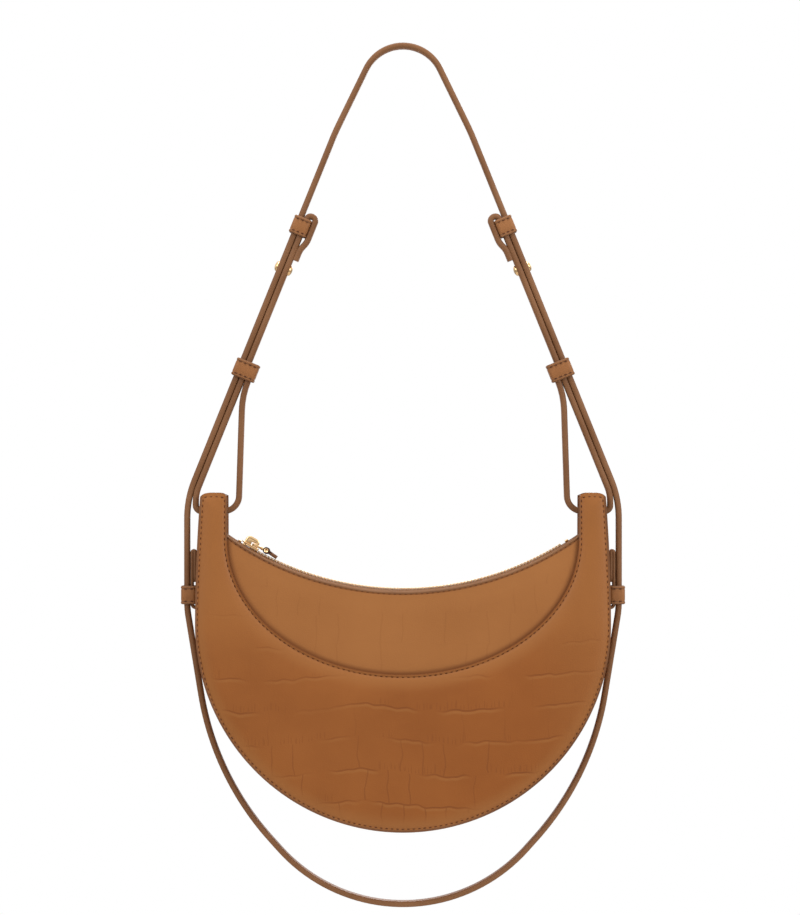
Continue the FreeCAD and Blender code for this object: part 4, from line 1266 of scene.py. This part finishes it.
# Side tabs and keepers: a leather tab sewn to the gusset is folded up round each side ring,
# and its end is hemmed inward. The ring holds the end of the side strand and the start of the slack loop.
tab_width = 12.0 * MM
tab_leather = 2.0 * MM
tab_dome = 0.5 * MM
tab_top_z = side_keeper_z + 31.0 * MM
tab_hem_z = side_keeper_z + 9.0 * MM
tab_fold_z = side_keeper_z - keeper_height / 2 - 2.5 * MM
tab_inner_x = 142.55 * MM
tab_top_lean = 0.7 * MM
tab_outer_x = side_strand_x - strap_thick / 2 - 0.6 * MM - tab_leather / 2
side_ring_from = tab_outer_x - tab_leather / 2 - keeper_play - side_strand_x
tab_turn = (tab_outer_x - tab_inner_x) / 2 - 0.05 * MM
tab_hem_x = tab_outer_x - tab_leather - 0.06 * MM
tab_hem_turn = tab_leather / 2 + 0.02 * MM
tab_route = [
    front_point(tab_inner_x - tab_top_lean, tab_top_z),
    front_point(tab_inner_x, tab_fold_z),
    front_point(tab_outer_x, tab_fold_z),
    front_point(tab_outer_x, tab_top_z),
    front_point(tab_hem_x, tab_top_z),
    front_point(tab_hem_x, tab_hem_z)]
tab_radii = [tab_turn, tab_turn, tab_hem_turn, tab_hem_turn]
for side_name, side in left_and_right:
    shape = sweep_strap(
        on_side(tab_route, side), tab_radii, tab_width, tab_leather, arc_step=12.0, dome=tab_dome,
        line_depth=0.0)
    make_piece(
        shape, "folded_tab_" + side_name, [gusset_leather, edge_paint], "side_tab_" + side_name)
    keeper(
        "side_ring_" + side_name, "side_keeper_" + side_name, side_ring_from,
        front_point(side_strand_x, side_keeper_z), 0.0, side, "bag")

# Studs: gold-plated brass. Each has a domed head outside the long strap, a shank through both straps
# and a domed cap screwed on inside.
stud_shank_radius = 2.0 * MM
stud_head_radius = 3.8 * MM
stud_head_height = 2.4 * MM
stud_skirt = 0.35 * MM
stud_chamfer = 0.25 * MM
stud_chamfer_height = 0.12 * MM
stud_crown_steps = 8
shank_end = strap_thick / 2 - strand_spacing - strap_thick
metal_sharp = 35
metal_bump = 0.15
scratch_depth = 0.05 * MM
smudges_per_metre = 140.0
metal_gloss = (0.16, 0.30)

# Metal wear: fine scratches in the bump and smudges in the gloss
metal_wear, wear_in, wear_out = effect_group(
    "metal_wear", [("Scratches per metre", 900.0)], ["Height", "Gloss"])
wear_place = object_place(metal_wear)
smudges = spots(metal_wear, wear_place, smudges_per_metre, 3.0)
plug(metal_wear, wear_out, [
    ("Height", spots(metal_wear, wear_place, wear_in["Scratches per metre"], 4.0)),
    ("Gloss", ramp(metal_wear, smudges, 0.3, 0.7, *metal_gloss))])
gold_metal, gold_tree, gold_shader = new_finish("gold_metal")
wear = add_node(gold_tree, "ShaderNodeGroup", node_tree=metal_wear).outputs
plug(gold_tree, gold_shader, [
    ("Base Color", srgb(228, 190, 140)), ("Metallic", 1.0), ("Roughness", wear["Gloss"]),
    ("Normal", bumped(gold_tree, wear["Height"], metal_bump, scratch_depth).outputs["Normal"])])


def dome_profile(base, direction):
    """Half section of a domed head: a short straight skirt, then a round crown."""
    points = [
        (base, stud_head_radius - stud_chamfer), (base + direction * stud_chamfer_height, stud_head_radius)]
    for step in range(stud_crown_steps + 1):
        angle = math.pi / 2 * step / stud_crown_steps
        rise = stud_skirt + (stud_head_height - stud_skirt) * math.sin(angle)
        points.append((base + direction * rise, stud_head_radius * math.cos(angle)))
    return points


def turned_piece(profile):
    """Spin a half section of (place along X, radius) round the X axis."""
    shape = bmesh.new()
    verts = [shape.verts.new((x, radius, 0)) for x, radius in profile]
    edges = [shape.edges.new(pair) for pair in zip(verts, verts[1:])]
    bmesh.ops.spin(
        shape, geom=verts + edges, cent=(0, 0, 0), axis=(1, 0, 0), angle=2 * math.pi, steps=32,
        use_merge=True)
    bmesh.ops.remove_doubles(shape, verts=shape.verts[:], dist=1e-6)
    bmesh.ops.recalc_face_normals(shape, faces=shape.faces[:])
    return shape


def metal_piece(shape, name, node, body):
    make_piece(shape, name, [gold_metal], node, body, sharp=metal_sharp)


shank_profile = [(shank_end, 0.0), (shank_end, stud_shank_radius), (strap_thick / 2, stud_shank_radius)]
stud_profiles = {
    "post": shank_profile + dome_profile(strap_thick / 2, 1),
    "cap": [(shank_end, 0.0)] + dome_profile(shank_end, -1)}
for side_name, side in left_and_right:
    for kind, profile in stud_profiles.items():
        shape = turned_piece(profile)
        stand_on_strap(shape, strand_at(stud_z, 0), strap_lean, side)
        stud = "stud_" + kind
        metal_piece(shape, stud + "_turned_" + side_name, stud + "_" + side_name, "strap")

# Zip tapes, front and back: woven cloth 0.6 mm thick, level with the yoke's edge,
# with the outer border turned down and sewn inside the yoke. Beyond the stops the two tapes meet.
tape_thick = 0.6 * MM
tape_level = 0.4 * MM
tape_edge = 1.6 * MM
tape_flap = 8.0 * MM
tape_tail = 6.0 * MM
tape_inset = 3.4 * MM
tape_turn = 1.0 * MM
tape_fall = 0.6 * MM
tape_edge_round = 0.15 * MM
tape_meet_inset = 1.7 * MM
tape_meet_gap = 0.1 * MM
tape_grid = (240, 24)
flat_share = 0.5
turn_share = 0.25
tape_cloth = cloth_finish("zip_tape_cloth", (118, 78, 48), (140, 97, 62), 7000, 0.785)
tape_half_angle = math.asin((zip_half_width + tape_tail) / zip_radius)


def zip_angle(inset):
    """Angle along the zip's arc of a point that far in from its right end."""
    return math.asin(zip_half_width / zip_radius) - inset / zip_radius


def on_zip(angle):
    """Turn about the zip's centre from its low point to an angle, positive to the right."""
    centre = Matrix.Translation((0, 0, zip_centre_z))
    return centre @ Matrix.Rotation(-angle, 4, "Y") @ centre.inverted()


def tape_section(share, reach, edge):
    """Across a tape: place in depth and rise over the yoke's edge, flat from the teeth and turned down."""
    top = tape_level + tape_thick / 2
    if share <= flat_share:
        out = share / flat_share
        return edge + (reach - tape_turn - edge) * out, top - tape_fall * out
    top -= tape_fall
    past_flat = (share - flat_share) / turn_share
    if past_flat <= 1:
        angle = past_flat * math.pi / 2
        return reach - tape_turn * (1 - math.sin(angle)), top - tape_turn * (1 - math.cos(angle))
    return reach, top - tape_turn - tape_flap * (past_flat - 1)


def on_tail(centre):
    """Whether a place is on the turned-down border beyond the zip's ends."""
    from_centre = math.hypot(centre.x, centre.z - zip_centre_z)
    return abs(centre.x) > zip_half_width and from_centre > zip_radius + tape_thick


for side_name, face in front_and_back:

    def place_tape(along, across):
        angle = tape_half_angle * (2 * along - 1)
        middle_z = zip_centre_z - zip_radius * math.cos(angle)
        past_stop = zip_radius * (abs(angle) - zip_angle(tape_meet_inset))
        edge = tape_edge + (tape_meet_gap - tape_edge) * smooth_step(0, tape_meet_inset, past_stop)
        depth, rise = tape_section(across, half_depth(middle_z) - tape_inset, edge)
        return on_zip(angle) @ Vector((0, face * depth, zip_low_z + rise))

    shape = leather_sheet(*tape_grid, place_tape, Vector((0, face, 1)))
    delete_faces(shape, on_tail)
    sheet_piece(
        shape, "woven_tape_" + side_name, [tape_cloth], "zip_tape_" + side_name,
        tape_thick, tape_edge_round)

# Zip teeth and stops: gold-plated brass, clamped over the tapes' edges. Each tooth is a bent clip
# with a narrower head, and the back row is half a tooth along from the front row.
tooth_spacing = 2.5 * MM
tooth_thick = 1.16 * MM
tooth_height = 3.4 * MM
tooth_root = 3.2 * MM
tooth_head = 0.9 * MM
tooth_tip_thick = 0.7 * MM
tooth_bevel = 0.22 * MM
tape_slot_play = 0.05 * MM
chain_start_inset = 12.5 * MM
chain_end_inset = 6.5 * MM
stop_length = 2.4 * MM
stop_height = 3.4 * MM
stop_half_width = 3.0 * MM
stop_gap = 0.05 * MM
top_stop_inset = 3.5 * MM
bottom_stop_inset = 3.1 * MM
stop_bevel = 0.45 * MM
near_zero = 1e-7
tape_middle_z = zip_low_z + tape_level


def move(shape, matrix):
    bmesh.ops.transform(shape, matrix=matrix, verts=shape.verts[:])


def round_edges(shape, edges, radius, segments=2, clamp=False):
    bmesh.ops.bevel(
        shape, geom=edges, offset=radius, offset_type="OFFSET", affect="EDGES", segments=segments,
        profile=0.5, material=-1, clamp_overlap=clamp)


def extruded(shape, outline, path):
    """Extrude an outline along a path, and give the points of both ends."""
    verts = [shape.verts.new(point) for point in outline]
    made = bmesh.ops.extrude_face_region(shape, geom=[shape.faces.new(verts)])["geom"]
    moved = only(bmesh.types.BMVert, made)
    bmesh.ops.translate(shape, verts=moved, vec=path)
    return verts, moved


def clip_shape(length, y_from, y_to, height, slot_sides, bevel, segments, tip_length=None):
    """A clip at the zip's low point: a block with a slot for the tape on each given side, rounded."""
    shape = bmesh.new()
    slot_end = tape_edge - tape_slot_play
    slot_half = tape_thick / 2 + tape_slot_play
    low, high = -height / 2, height / 2
    outline = [(y_from, low), (y_to, low), (y_to, high), (y_from, high)]

    def slot(outside, inside):
        return [(outside, -slot_half), (inside, -slot_half), (inside, slot_half), (outside, slot_half)]

    if 1 in slot_sides:
        outline[2:2] = slot(y_to, slot_end)
    if -1 in slot_sides:
        outline += reversed(slot(y_from, -slot_end))
    extruded(shape, [(-length / 2, y, z) for y, z in outline], (length, 0, 0))
    if tip_length:
        for vert in shape.verts:
            if abs(vert.co.y - y_to) < near_zero:
                vert.co.x *= tip_length / length
    bmesh.ops.recalc_face_normals(shape, faces=shape.faces[:])
    round_edges(shape, shape.edges[:], bevel, segments, clamp=True)
    move(shape, Matrix.Translation((0, 0, tape_middle_z)))
    return shape


def add_copies(shape, other, places=(Matrix(),)):
    """Add a finished bmesh to another one, at one or more places."""
    mesh = bpy.data.meshes.new("copied")
    other.to_mesh(mesh)
    other.free()
    for place in places:
        placed = mesh.copy()
        placed.transform(place)
        shape.from_mesh(placed)
        bpy.data.meshes.remove(placed)
    bpy.data.meshes.remove(mesh)


def clips_on_zip(clip, angles, name, node, flip=False):
    """A piece of clips at angles along the zip, turned to the back row where asked."""
    turn = Matrix.Rotation(math.pi if flip else 0.0, 4, "Z")
    shape = bmesh.new()
    add_copies(shape, clip, [on_zip(angle) @ turn for angle in angles])
    metal_piece(shape, name, node, "bag")


chain_start = -zip_angle(chain_start_inset)
tooth_step = tooth_spacing / (zip_radius - tape_level)
tooth_count = int((zip_angle(chain_end_inset) - chain_start) / tooth_step)
for side_name, flip, shift in (("front", False, 0.0), ("back", True, 0.5)):
    tooth = clip_shape(
        tooth_thick, -tooth_root, tooth_head, tooth_height, (-1,), tooth_bevel, 1, tooth_tip_thick)
    angles = [chain_start + (index + shift) * tooth_step for index in range(tooth_count)]
    clips_on_zip(tooth, angles, "tooth_row_" + side_name, "zip_teeth_" + side_name, flip)
    stop = clip_shape(stop_length, -stop_half_width, -stop_gap, stop_height, (-1,), stop_bevel, 2)
    clips_on_zip(
        stop, [-zip_angle(top_stop_inset)], "top_clip_" + side_name, "zip_top_stop_" + side_name, flip)
box_stop = clip_shape(
    stop_length, -stop_half_width, stop_half_width, stop_height, (-1, 1), stop_bevel, 2)
clips_on_zip(box_stop, [zip_angle(bottom_stop_inset)], "bottom_box", "zip_bottom_stop")

# Zip slider: cast metal, gold plated. Two plates with turned-in sides run on the chain,
# a neck joins them at the nose, and a rounded bridge on top holds the pull.
slider_inset = 12.1 * MM
slider_length = 12.0 * MM
slider_half_length = slider_length / 2
slider_nose_reach = 1.2 * MM
slider_plate = 0.93 * MM
slider_half_width = 4.6 * MM
slider_rear_half_width = 4.2 * MM
slider_nose_radius = 2.6 * MM
slider_rear_radius = 1.2 * MM
slider_plan_segments = 6
slider_edge_round = 0.3 * MM
plate_edge_angle = math.radians(60)
slider_flange = 1.0 * MM
slider_flange_inset = 0.5 * MM
slider_flange_round = 0.12 * MM
slider_flange_lap = 0.3 * MM
slider_flange_clear = 0.35 * MM
slider_clear = 0.12 * MM
slider_neck = 2.6 * MM
slider_neck_half_width = 1.2 * MM
slider_neck_inset = 0.2 * MM
bridge_height = 5.4 * MM
bridge_thick = 2.2 * MM
bridge_width = 2.2 * MM
bridge_foot = 3.4 * MM
bridge_sunk = 0.3 * MM
bridge_bend = 2.0 * MM
bridge_dome = 0.35 * MM
bridge_hole = (-0.8 * MM, 2.0 * MM)
bridge_hole_height = 2.1 * MM
web_half_width = bridge_width / 2 - 0.1 * MM
web_sunk = 0.2 * MM
web_lap = 0.5 * MM
web_round = 0.3 * MM
channel = tooth_height / 2 + slider_clear
plate_top = channel + slider_plate
slider_angle = -zip_angle(slider_inset)


def metal_block(shape, x_range, y_range, z_range, bevel):
    """Add a block with rounded edges between places along each axis."""
    ranges = (x_range, y_range, z_range)
    block = bmesh.ops.create_cube(shape, size=1.0)["verts"]
    bmesh.ops.scale(shape, verts=block, vec=[end - start for start, end in ranges])
    bmesh.ops.translate(shape, verts=block, vec=[(start + end) / 2 for start, end in ranges])
    round_edges(shape, list({edge for vert in block for edge in vert.link_edges}), bevel)


def spread(half):
    """The range from minus a half width to plus it."""
    return -half, half


def add_plate(shape, rise_from, rise_to):
    """Add one plate: wide and round at the nose, narrower at the rear, with rounded edges."""
    nose_x = -slider_half_length - slider_nose_reach
    plan = [
        (nose_x, -slider_half_width, rise_from), (slider_half_length, -slider_rear_half_width, rise_from),
        (slider_half_length, slider_rear_half_width, rise_from), (nose_x, slider_half_width, rise_from)]
    base, top = extruded(shape, plan, (0, 0, rise_to - rise_from))
    corners = [edge for vert in base for edge in vert.link_edges if edge.other_vert(vert) in top]
    nose = [edge for edge in corners if edge.verts[0].co.x < 0]
    rear = [edge for edge in corners if edge.verts[0].co.x > 0]
    round_edges(shape, nose, slider_nose_radius, slider_plan_segments)
    round_edges(shape, rear, slider_rear_radius, slider_plan_segments)

    def lies_at(edge, rise):
        return all(abs(vert.co.z - rise) < near_zero for vert in edge.verts)

    outline = [
        edge for edge in shape.edges
        if (lies_at(edge, rise_from) or lies_at(edge, rise_to))
        and edge.is_manifold and edge.calc_face_angle(0.0) > plate_edge_angle]
    round_edges(shape, outline, slider_edge_round)


slider_shape = bmesh.new()
add_plate(slider_shape, channel, plate_top)
add_plate(slider_shape, -plate_top, -channel)
flange_gap = tape_thick / 2 + slider_flange_clear
flange_x = (slider_nose_radius - slider_half_length, slider_half_length - slider_flange_inset)
flange_rise = (flange_gap, channel + slider_flange_lap)
for side in (-1, 1):
    flange_y = sorted((side * (slider_half_width - slider_flange), side * slider_rear_half_width))
    for end in (1, -1):
        flange_z = sorted(end * rise for rise in flange_rise)
        metal_block(slider_shape, flange_x, flange_y, flange_z, slider_flange_round)
neck_x = (slider_neck_inset - slider_half_length, slider_neck - slider_half_length)
metal_block(
    slider_shape, neck_x, spread(slider_neck_half_width), spread(channel + slider_neck_inset),
    slider_neck_inset)
bridge_line = plate_top + bridge_height - bridge_thick / 2
bridge_front = -bridge_foot - slider_nose_reach
bridge_route = [
    front_point(bridge_front, plate_top - bridge_sunk), front_point(bridge_front, bridge_line),
    front_point(bridge_foot, bridge_line), front_point(bridge_foot, plate_top - bridge_sunk)]
bridge = sweep_strap(
    bridge_route, [bridge_bend] * 2, bridge_width, bridge_thick, step_length=2.0 * MM, arc_step=12.0,
    dome=bridge_dome, line_depth=0.0)
add_copies(slider_shape, bridge)
webs = [
    (bridge_front, bridge_hole[0], plate_top - web_sunk),
    (bridge_hole[1], bridge_foot, plate_top - web_sunk),
    (bridge_hole[0] - web_lap, bridge_hole[1] + web_lap, plate_top + bridge_hole_height)]
for x_from, x_to, rise in webs:
    metal_block(slider_shape, (x_from, x_to), spread(web_half_width), (rise, bridge_line), web_round)


def one_finish(shape):
    """Put every face of a cast piece in its one finish."""
    for face in shape.faces:
        face.material_index = 0


one_finish(slider_shape)
slider_rest = on_zip(slider_angle) @ Matrix.Translation((0, 0, tape_middle_z))
move(slider_shape, slider_rest)
metal_piece(slider_shape, "cast_slider", "zip_slider", "zip_slider")

# Zip pull: a flat gold frame whose bar turns under the bridge, with a narrow, thicker tail.
# A second bar through the tail's end carries the tab and has a riveted head at each end.
pull_bar_radius = 0.7 * MM
pull_bar_lift = 0.9 * MM
pull_pivot_x = 0.6 * MM
pull_length = 10.2 * MM
pull_arm = 1.2 * MM
pull_half_width = 2.9 * MM
pull_thick = 1.6 * MM
pull_dome = 0.3 * MM
pull_tail_thick = 2.2 * MM
pull_tail_round = 0.4 * MM
pull_tail_lap = 0.4 * MM
pull_window = 5.6 * MM
pull_end_window = 3.4 * MM
pull_corner = 1.2 * MM
pull_web_inset = 0.6 * MM
pull_web_short = 0.5 * MM
pull_web_sunk = 0.02 * MM
pull_web_round = 0.2 * MM
pull_rest_tilt = math.radians(6.0)
bar_round = 0.15 * MM
tab_bar_radius = 0.9 * MM
rivet_radius = 1.55 * MM
rivet_from = 3.55 * MM
rivet_to = 4.2 * MM
rivet_round = 0.25 * MM
rivet_lap = 0.1 * MM
rivet_dimple_radius = 0.55 * MM
rivet_dimple = 0.4 * MM
pivot_rise = plate_top + pull_bar_lift


def cross_bar(shape, x, y_from, y_to, radius, bevel=bar_round):
    """Add a round bar across the pull, with rounded ends."""
    place = Matrix.Translation((x, (y_from + y_to) / 2, 0)) @ Matrix.Rotation(math.pi / 2, 4, "X")
    bar = bmesh.ops.create_cone(
        shape, cap_ends=True, segments=16, radius1=radius, radius2=radius, depth=y_to - y_from, matrix=place)
    ends = [edge for vert in bar["verts"] for edge in vert.link_edges
            if abs(edge.verts[0].co.y - edge.verts[1].co.y) < near_zero]
    round_edges(shape, list(set(ends)), bevel)


pull_shape = bmesh.new()
body_end = pull_length - pull_end_window
frame_line = pull_half_width - pull_arm / 2
frame_end = body_end - pull_arm
frame_route = [
    front_point(0, -frame_line), front_point(frame_end, -frame_line),
    front_point(frame_end, frame_line), front_point(0, frame_line)]
frame_shape = sweep_strap(
    frame_route, [pull_corner] * 2, pull_thick, pull_arm, step_length=4.0 * MM, arc_step=15.0,
    dome=pull_dome, line_depth=0.0)
move(frame_shape, Matrix.Rotation(math.pi / 2, 4, "X"))
add_copies(pull_shape, frame_shape)
metal_block(
    pull_shape, (pull_window, body_end - pull_web_short), spread(pull_half_width - pull_web_inset),
    spread(pull_thick / 2 - pull_web_sunk), pull_web_round)
metal_block(
    pull_shape, (pull_window + pull_tail_lap, pull_length), spread(slider_neck_half_width),
    spread(pull_tail_thick / 2), pull_tail_round)
cross_bar(pull_shape, 0.0, *spread(pull_half_width), pull_bar_radius)
cross_bar(pull_shape, pull_length, *spread(rivet_from + rivet_lap), tab_bar_radius)
for side in (-1, 1):
    cross_bar(
        pull_shape, pull_length, *sorted((side * rivet_from, side * rivet_to)), rivet_radius, rivet_round)
    ends = [
        face for face in pull_shape.faces if abs(face.calc_center_median().y - side * rivet_to) < near_zero]
    bmesh.ops.inset_individual(
        pull_shape, faces=ends, thickness=rivet_radius - rivet_round - rivet_dimple_radius)
    for vert in ends[0].verts:
        vert.co.y -= side * rivet_dimple
one_finish(pull_shape)
bmesh.ops.recalc_face_normals(pull_shape, faces=pull_shape.faces[:])
pull_rest = on_zip(slider_angle) @ Matrix.Translation((pull_pivot_x, 0, tape_middle_z + pivot_rise))
pull_rest = pull_rest @ Matrix.Rotation(-pull_rest_tilt, 4, "Y")
move(pull_shape, pull_rest)
metal_piece(pull_shape, "framed_pull", "zip_pull", "zip_pull")

# Pull tab: dark brown leather 1.2 mm thick, folded over the pull's second bar and sewn to itself.
# The fold is cut away in the middle to let the pull's tail through.
tab_bar_play = 0.2 * MM
pull_tab_leather = 1.2 * MM
pull_tab_half_width = 3.5 * MM
pull_tab_length = 9.0 * MM
pull_tab_from = 3.4 * MM
pull_tab_groove = 0.2 * MM
pull_tab_dome = 0.35 * MM
filler_inset = 0.4 * MM
filler_end = 3.6 * MM
filler_round = 0.1 * MM
lug_end = 4.4 * MM
lug_bend = 2.4 * MM
lug_rise_end = 1.0 * MM
lug_bend_radius = 1.4 * MM
lug_rise_radius = 1.0 * MM
lug_dome = 0.3 * MM
tab_rest_droop = math.radians(10.0)
tab_fold = tab_bar_radius + tab_bar_play + pull_tab_leather / 2
tab_fold_radius = tab_fold - 0.02 * MM
tail_room = slider_neck_half_width + tab_bar_play
dark_leather = leather_finish("dark_leather", (74, 42, 24), (98, 60, 36), 1500, 0.1 * MM)
dark_edge = leather_finish("dark_edge", (58, 33, 20), (78, 47, 30), 900, 0.1 * MM)
# The tab's own edges are lighter as a painted highlight of the light on them
painted_highlight_edge = leather_finish("painted_highlight_edge", (108, 72, 48), (132, 92, 64), 900, 0.1 * MM)
layer = pull_tab_leather / 2
tab_shape = sweep_strap(
    [front_point(pull_tab_from, 0), front_point(pull_tab_length, 0)], [], 2 * pull_tab_half_width,
    2 * pull_tab_leather, groove_side=0, step_length=3.0 * MM, dome=pull_tab_dome,
    line_depth=pull_tab_groove)
# The tab's edges go to the third finish, their painted highlight
for face in tab_shape.faces:
    face.material_index *= 2
metal_block(
    tab_shape, (tab_bar_radius + tab_bar_play, filler_end), spread(pull_tab_half_width - filler_inset),
    spread(layer), filler_round)
lug_upper = [
    front_point(lug_end, layer), front_point(lug_bend, layer), front_point(lug_rise_end, tab_fold),
    front_point(-tab_fold, tab_fold)]
lug_route = lug_upper + [front_point(point.x, -point.z) for point in lug_upper[::-1]]
lug_half_radii = [lug_bend_radius, lug_rise_radius, tab_fold_radius]
for side in (-1, 1):
    lug = sweep_strap(
        lug_route, lug_half_radii + lug_half_radii[::-1], pull_tab_half_width - tail_room, pull_tab_leather,
        step_length=2.0 * MM, arc_step=12.0, dome=lug_dome, line_depth=0.0)
    place = Matrix.Translation((0, side * (pull_tab_half_width + tail_room) / 2, 0))
    add_copies(tab_shape, lug, [place])
tab_rest = pull_rest @ Matrix.Translation((pull_length, 0, 0))
move(tab_shape, tab_rest @ Matrix.Rotation(tab_rest_droop, 4, "Y"))
make_piece(
    tab_shape, "folded_pull_tab", [dark_leather, dark_edge, painted_highlight_edge], "zip_pull_tab",
    "zip_pull_tab", sharp=strap_sharp)

# Studio: a pale floor well below the hanging bag, a white surround and large soft lamps
floor_z = -0.72
floor_radius = 0.75
lamp_size = 0.9
surround_light = 0.42
mirrored_gain, mirrored_base = 0.8, 0.25
horizon = (-0.5, 0.35)
floor_shape = bmesh.new()
bmesh.ops.create_circle(floor_shape, cap_ends=True, segments=96, radius=floor_radius)
move(floor_shape, Matrix.Translation((0, 0, floor_z)))
floor_material, floor_tree, floor_shader = new_finish("pale_floor")
plug(floor_tree, floor_shader, [("Base Color", srgb(238, 236, 232)), ("Roughness", 0.8)])
floor = make_piece(floor_shape, "floor", [floor_material], body=None)

# The surround is white to the camera, fades below the horizon in reflections and lights the rest evenly
world = bpy.data.worlds.new("studio")
scene.world = world
world.use_nodes = True
sky = world.node_tree
sky.nodes.clear()
rays = add_node(sky, "ShaderNodeLightPath").outputs
sky_place = add_node(sky, "ShaderNodeTexCoord").outputs["Generated"]
sky_rise = add_node(sky, "ShaderNodeSeparateXYZ", [("Vector", sky_place)]).outputs["Z"]
mirrored_light = calc(sky, "MULTIPLY_ADD", soft_ramp(sky, sky_rise, *horizon), mirrored_gain, mirrored_base)
mirrored_light = calc(sky, "MULTIPLY", mirrored_light, rays["Is Glossy Ray"])
seen = calc(sky, "MAXIMUM", rays["Is Camera Ray"], rays["Is Transmission Ray"])
sky_strength = calc(sky, "MAXIMUM", calc(sky, "MAXIMUM", seen, mirrored_light), surround_light)
surround = add_node(sky, "ShaderNodeBackground", [
    ("Color", (1.0, 1.0, 1.0, 1.0)), ("Strength", sky_strength)])
add_node(sky, "ShaderNodeOutputWorld", [("Surface", surround.outputs[0])])
bag_middle = Vector((0, 0, -0.30))
lamps = {
    "key_left": ((-1.1, -1.2, 0.55), 9.5),
    "fill_right": ((1.2, -1.1, 0.25), 11.0),
    "top": ((0.0, -0.25, 1.2), 15.0),
    "back": ((0.3, 1.3, 0.4), 9.0)}
for name, (place, power) in lamps.items():
    lamp = bpy.data.lights.new(name, "AREA")
    lamp.size = lamp_size
    lamp.energy = power
    holder = bpy.data.objects.new(name, lamp)
    holder.location = place
    holder.rotation_euler = (bag_middle - Vector(place)).to_track_quat("-Z", "Y").to_euler()
    scene.collection.objects.link(holder)

# Camera: level with the middle of the picture, straight in front
frame_height = 0.6418
frame_middle_x = -0.0021
frame_middle_z = -0.2598
camera_distance = 3.0
camera_data = bpy.data.cameras.new("camera")
camera_data.lens = camera_data.sensor_width * camera_distance / frame_height
camera = bpy.data.objects.new("camera", camera_data)
camera.location = (frame_middle_x, -camera_distance, frame_middle_z)
camera.rotation_euler = (math.radians(90), 0, 0)
scene.collection.objects.link(camera)
scene.camera = camera
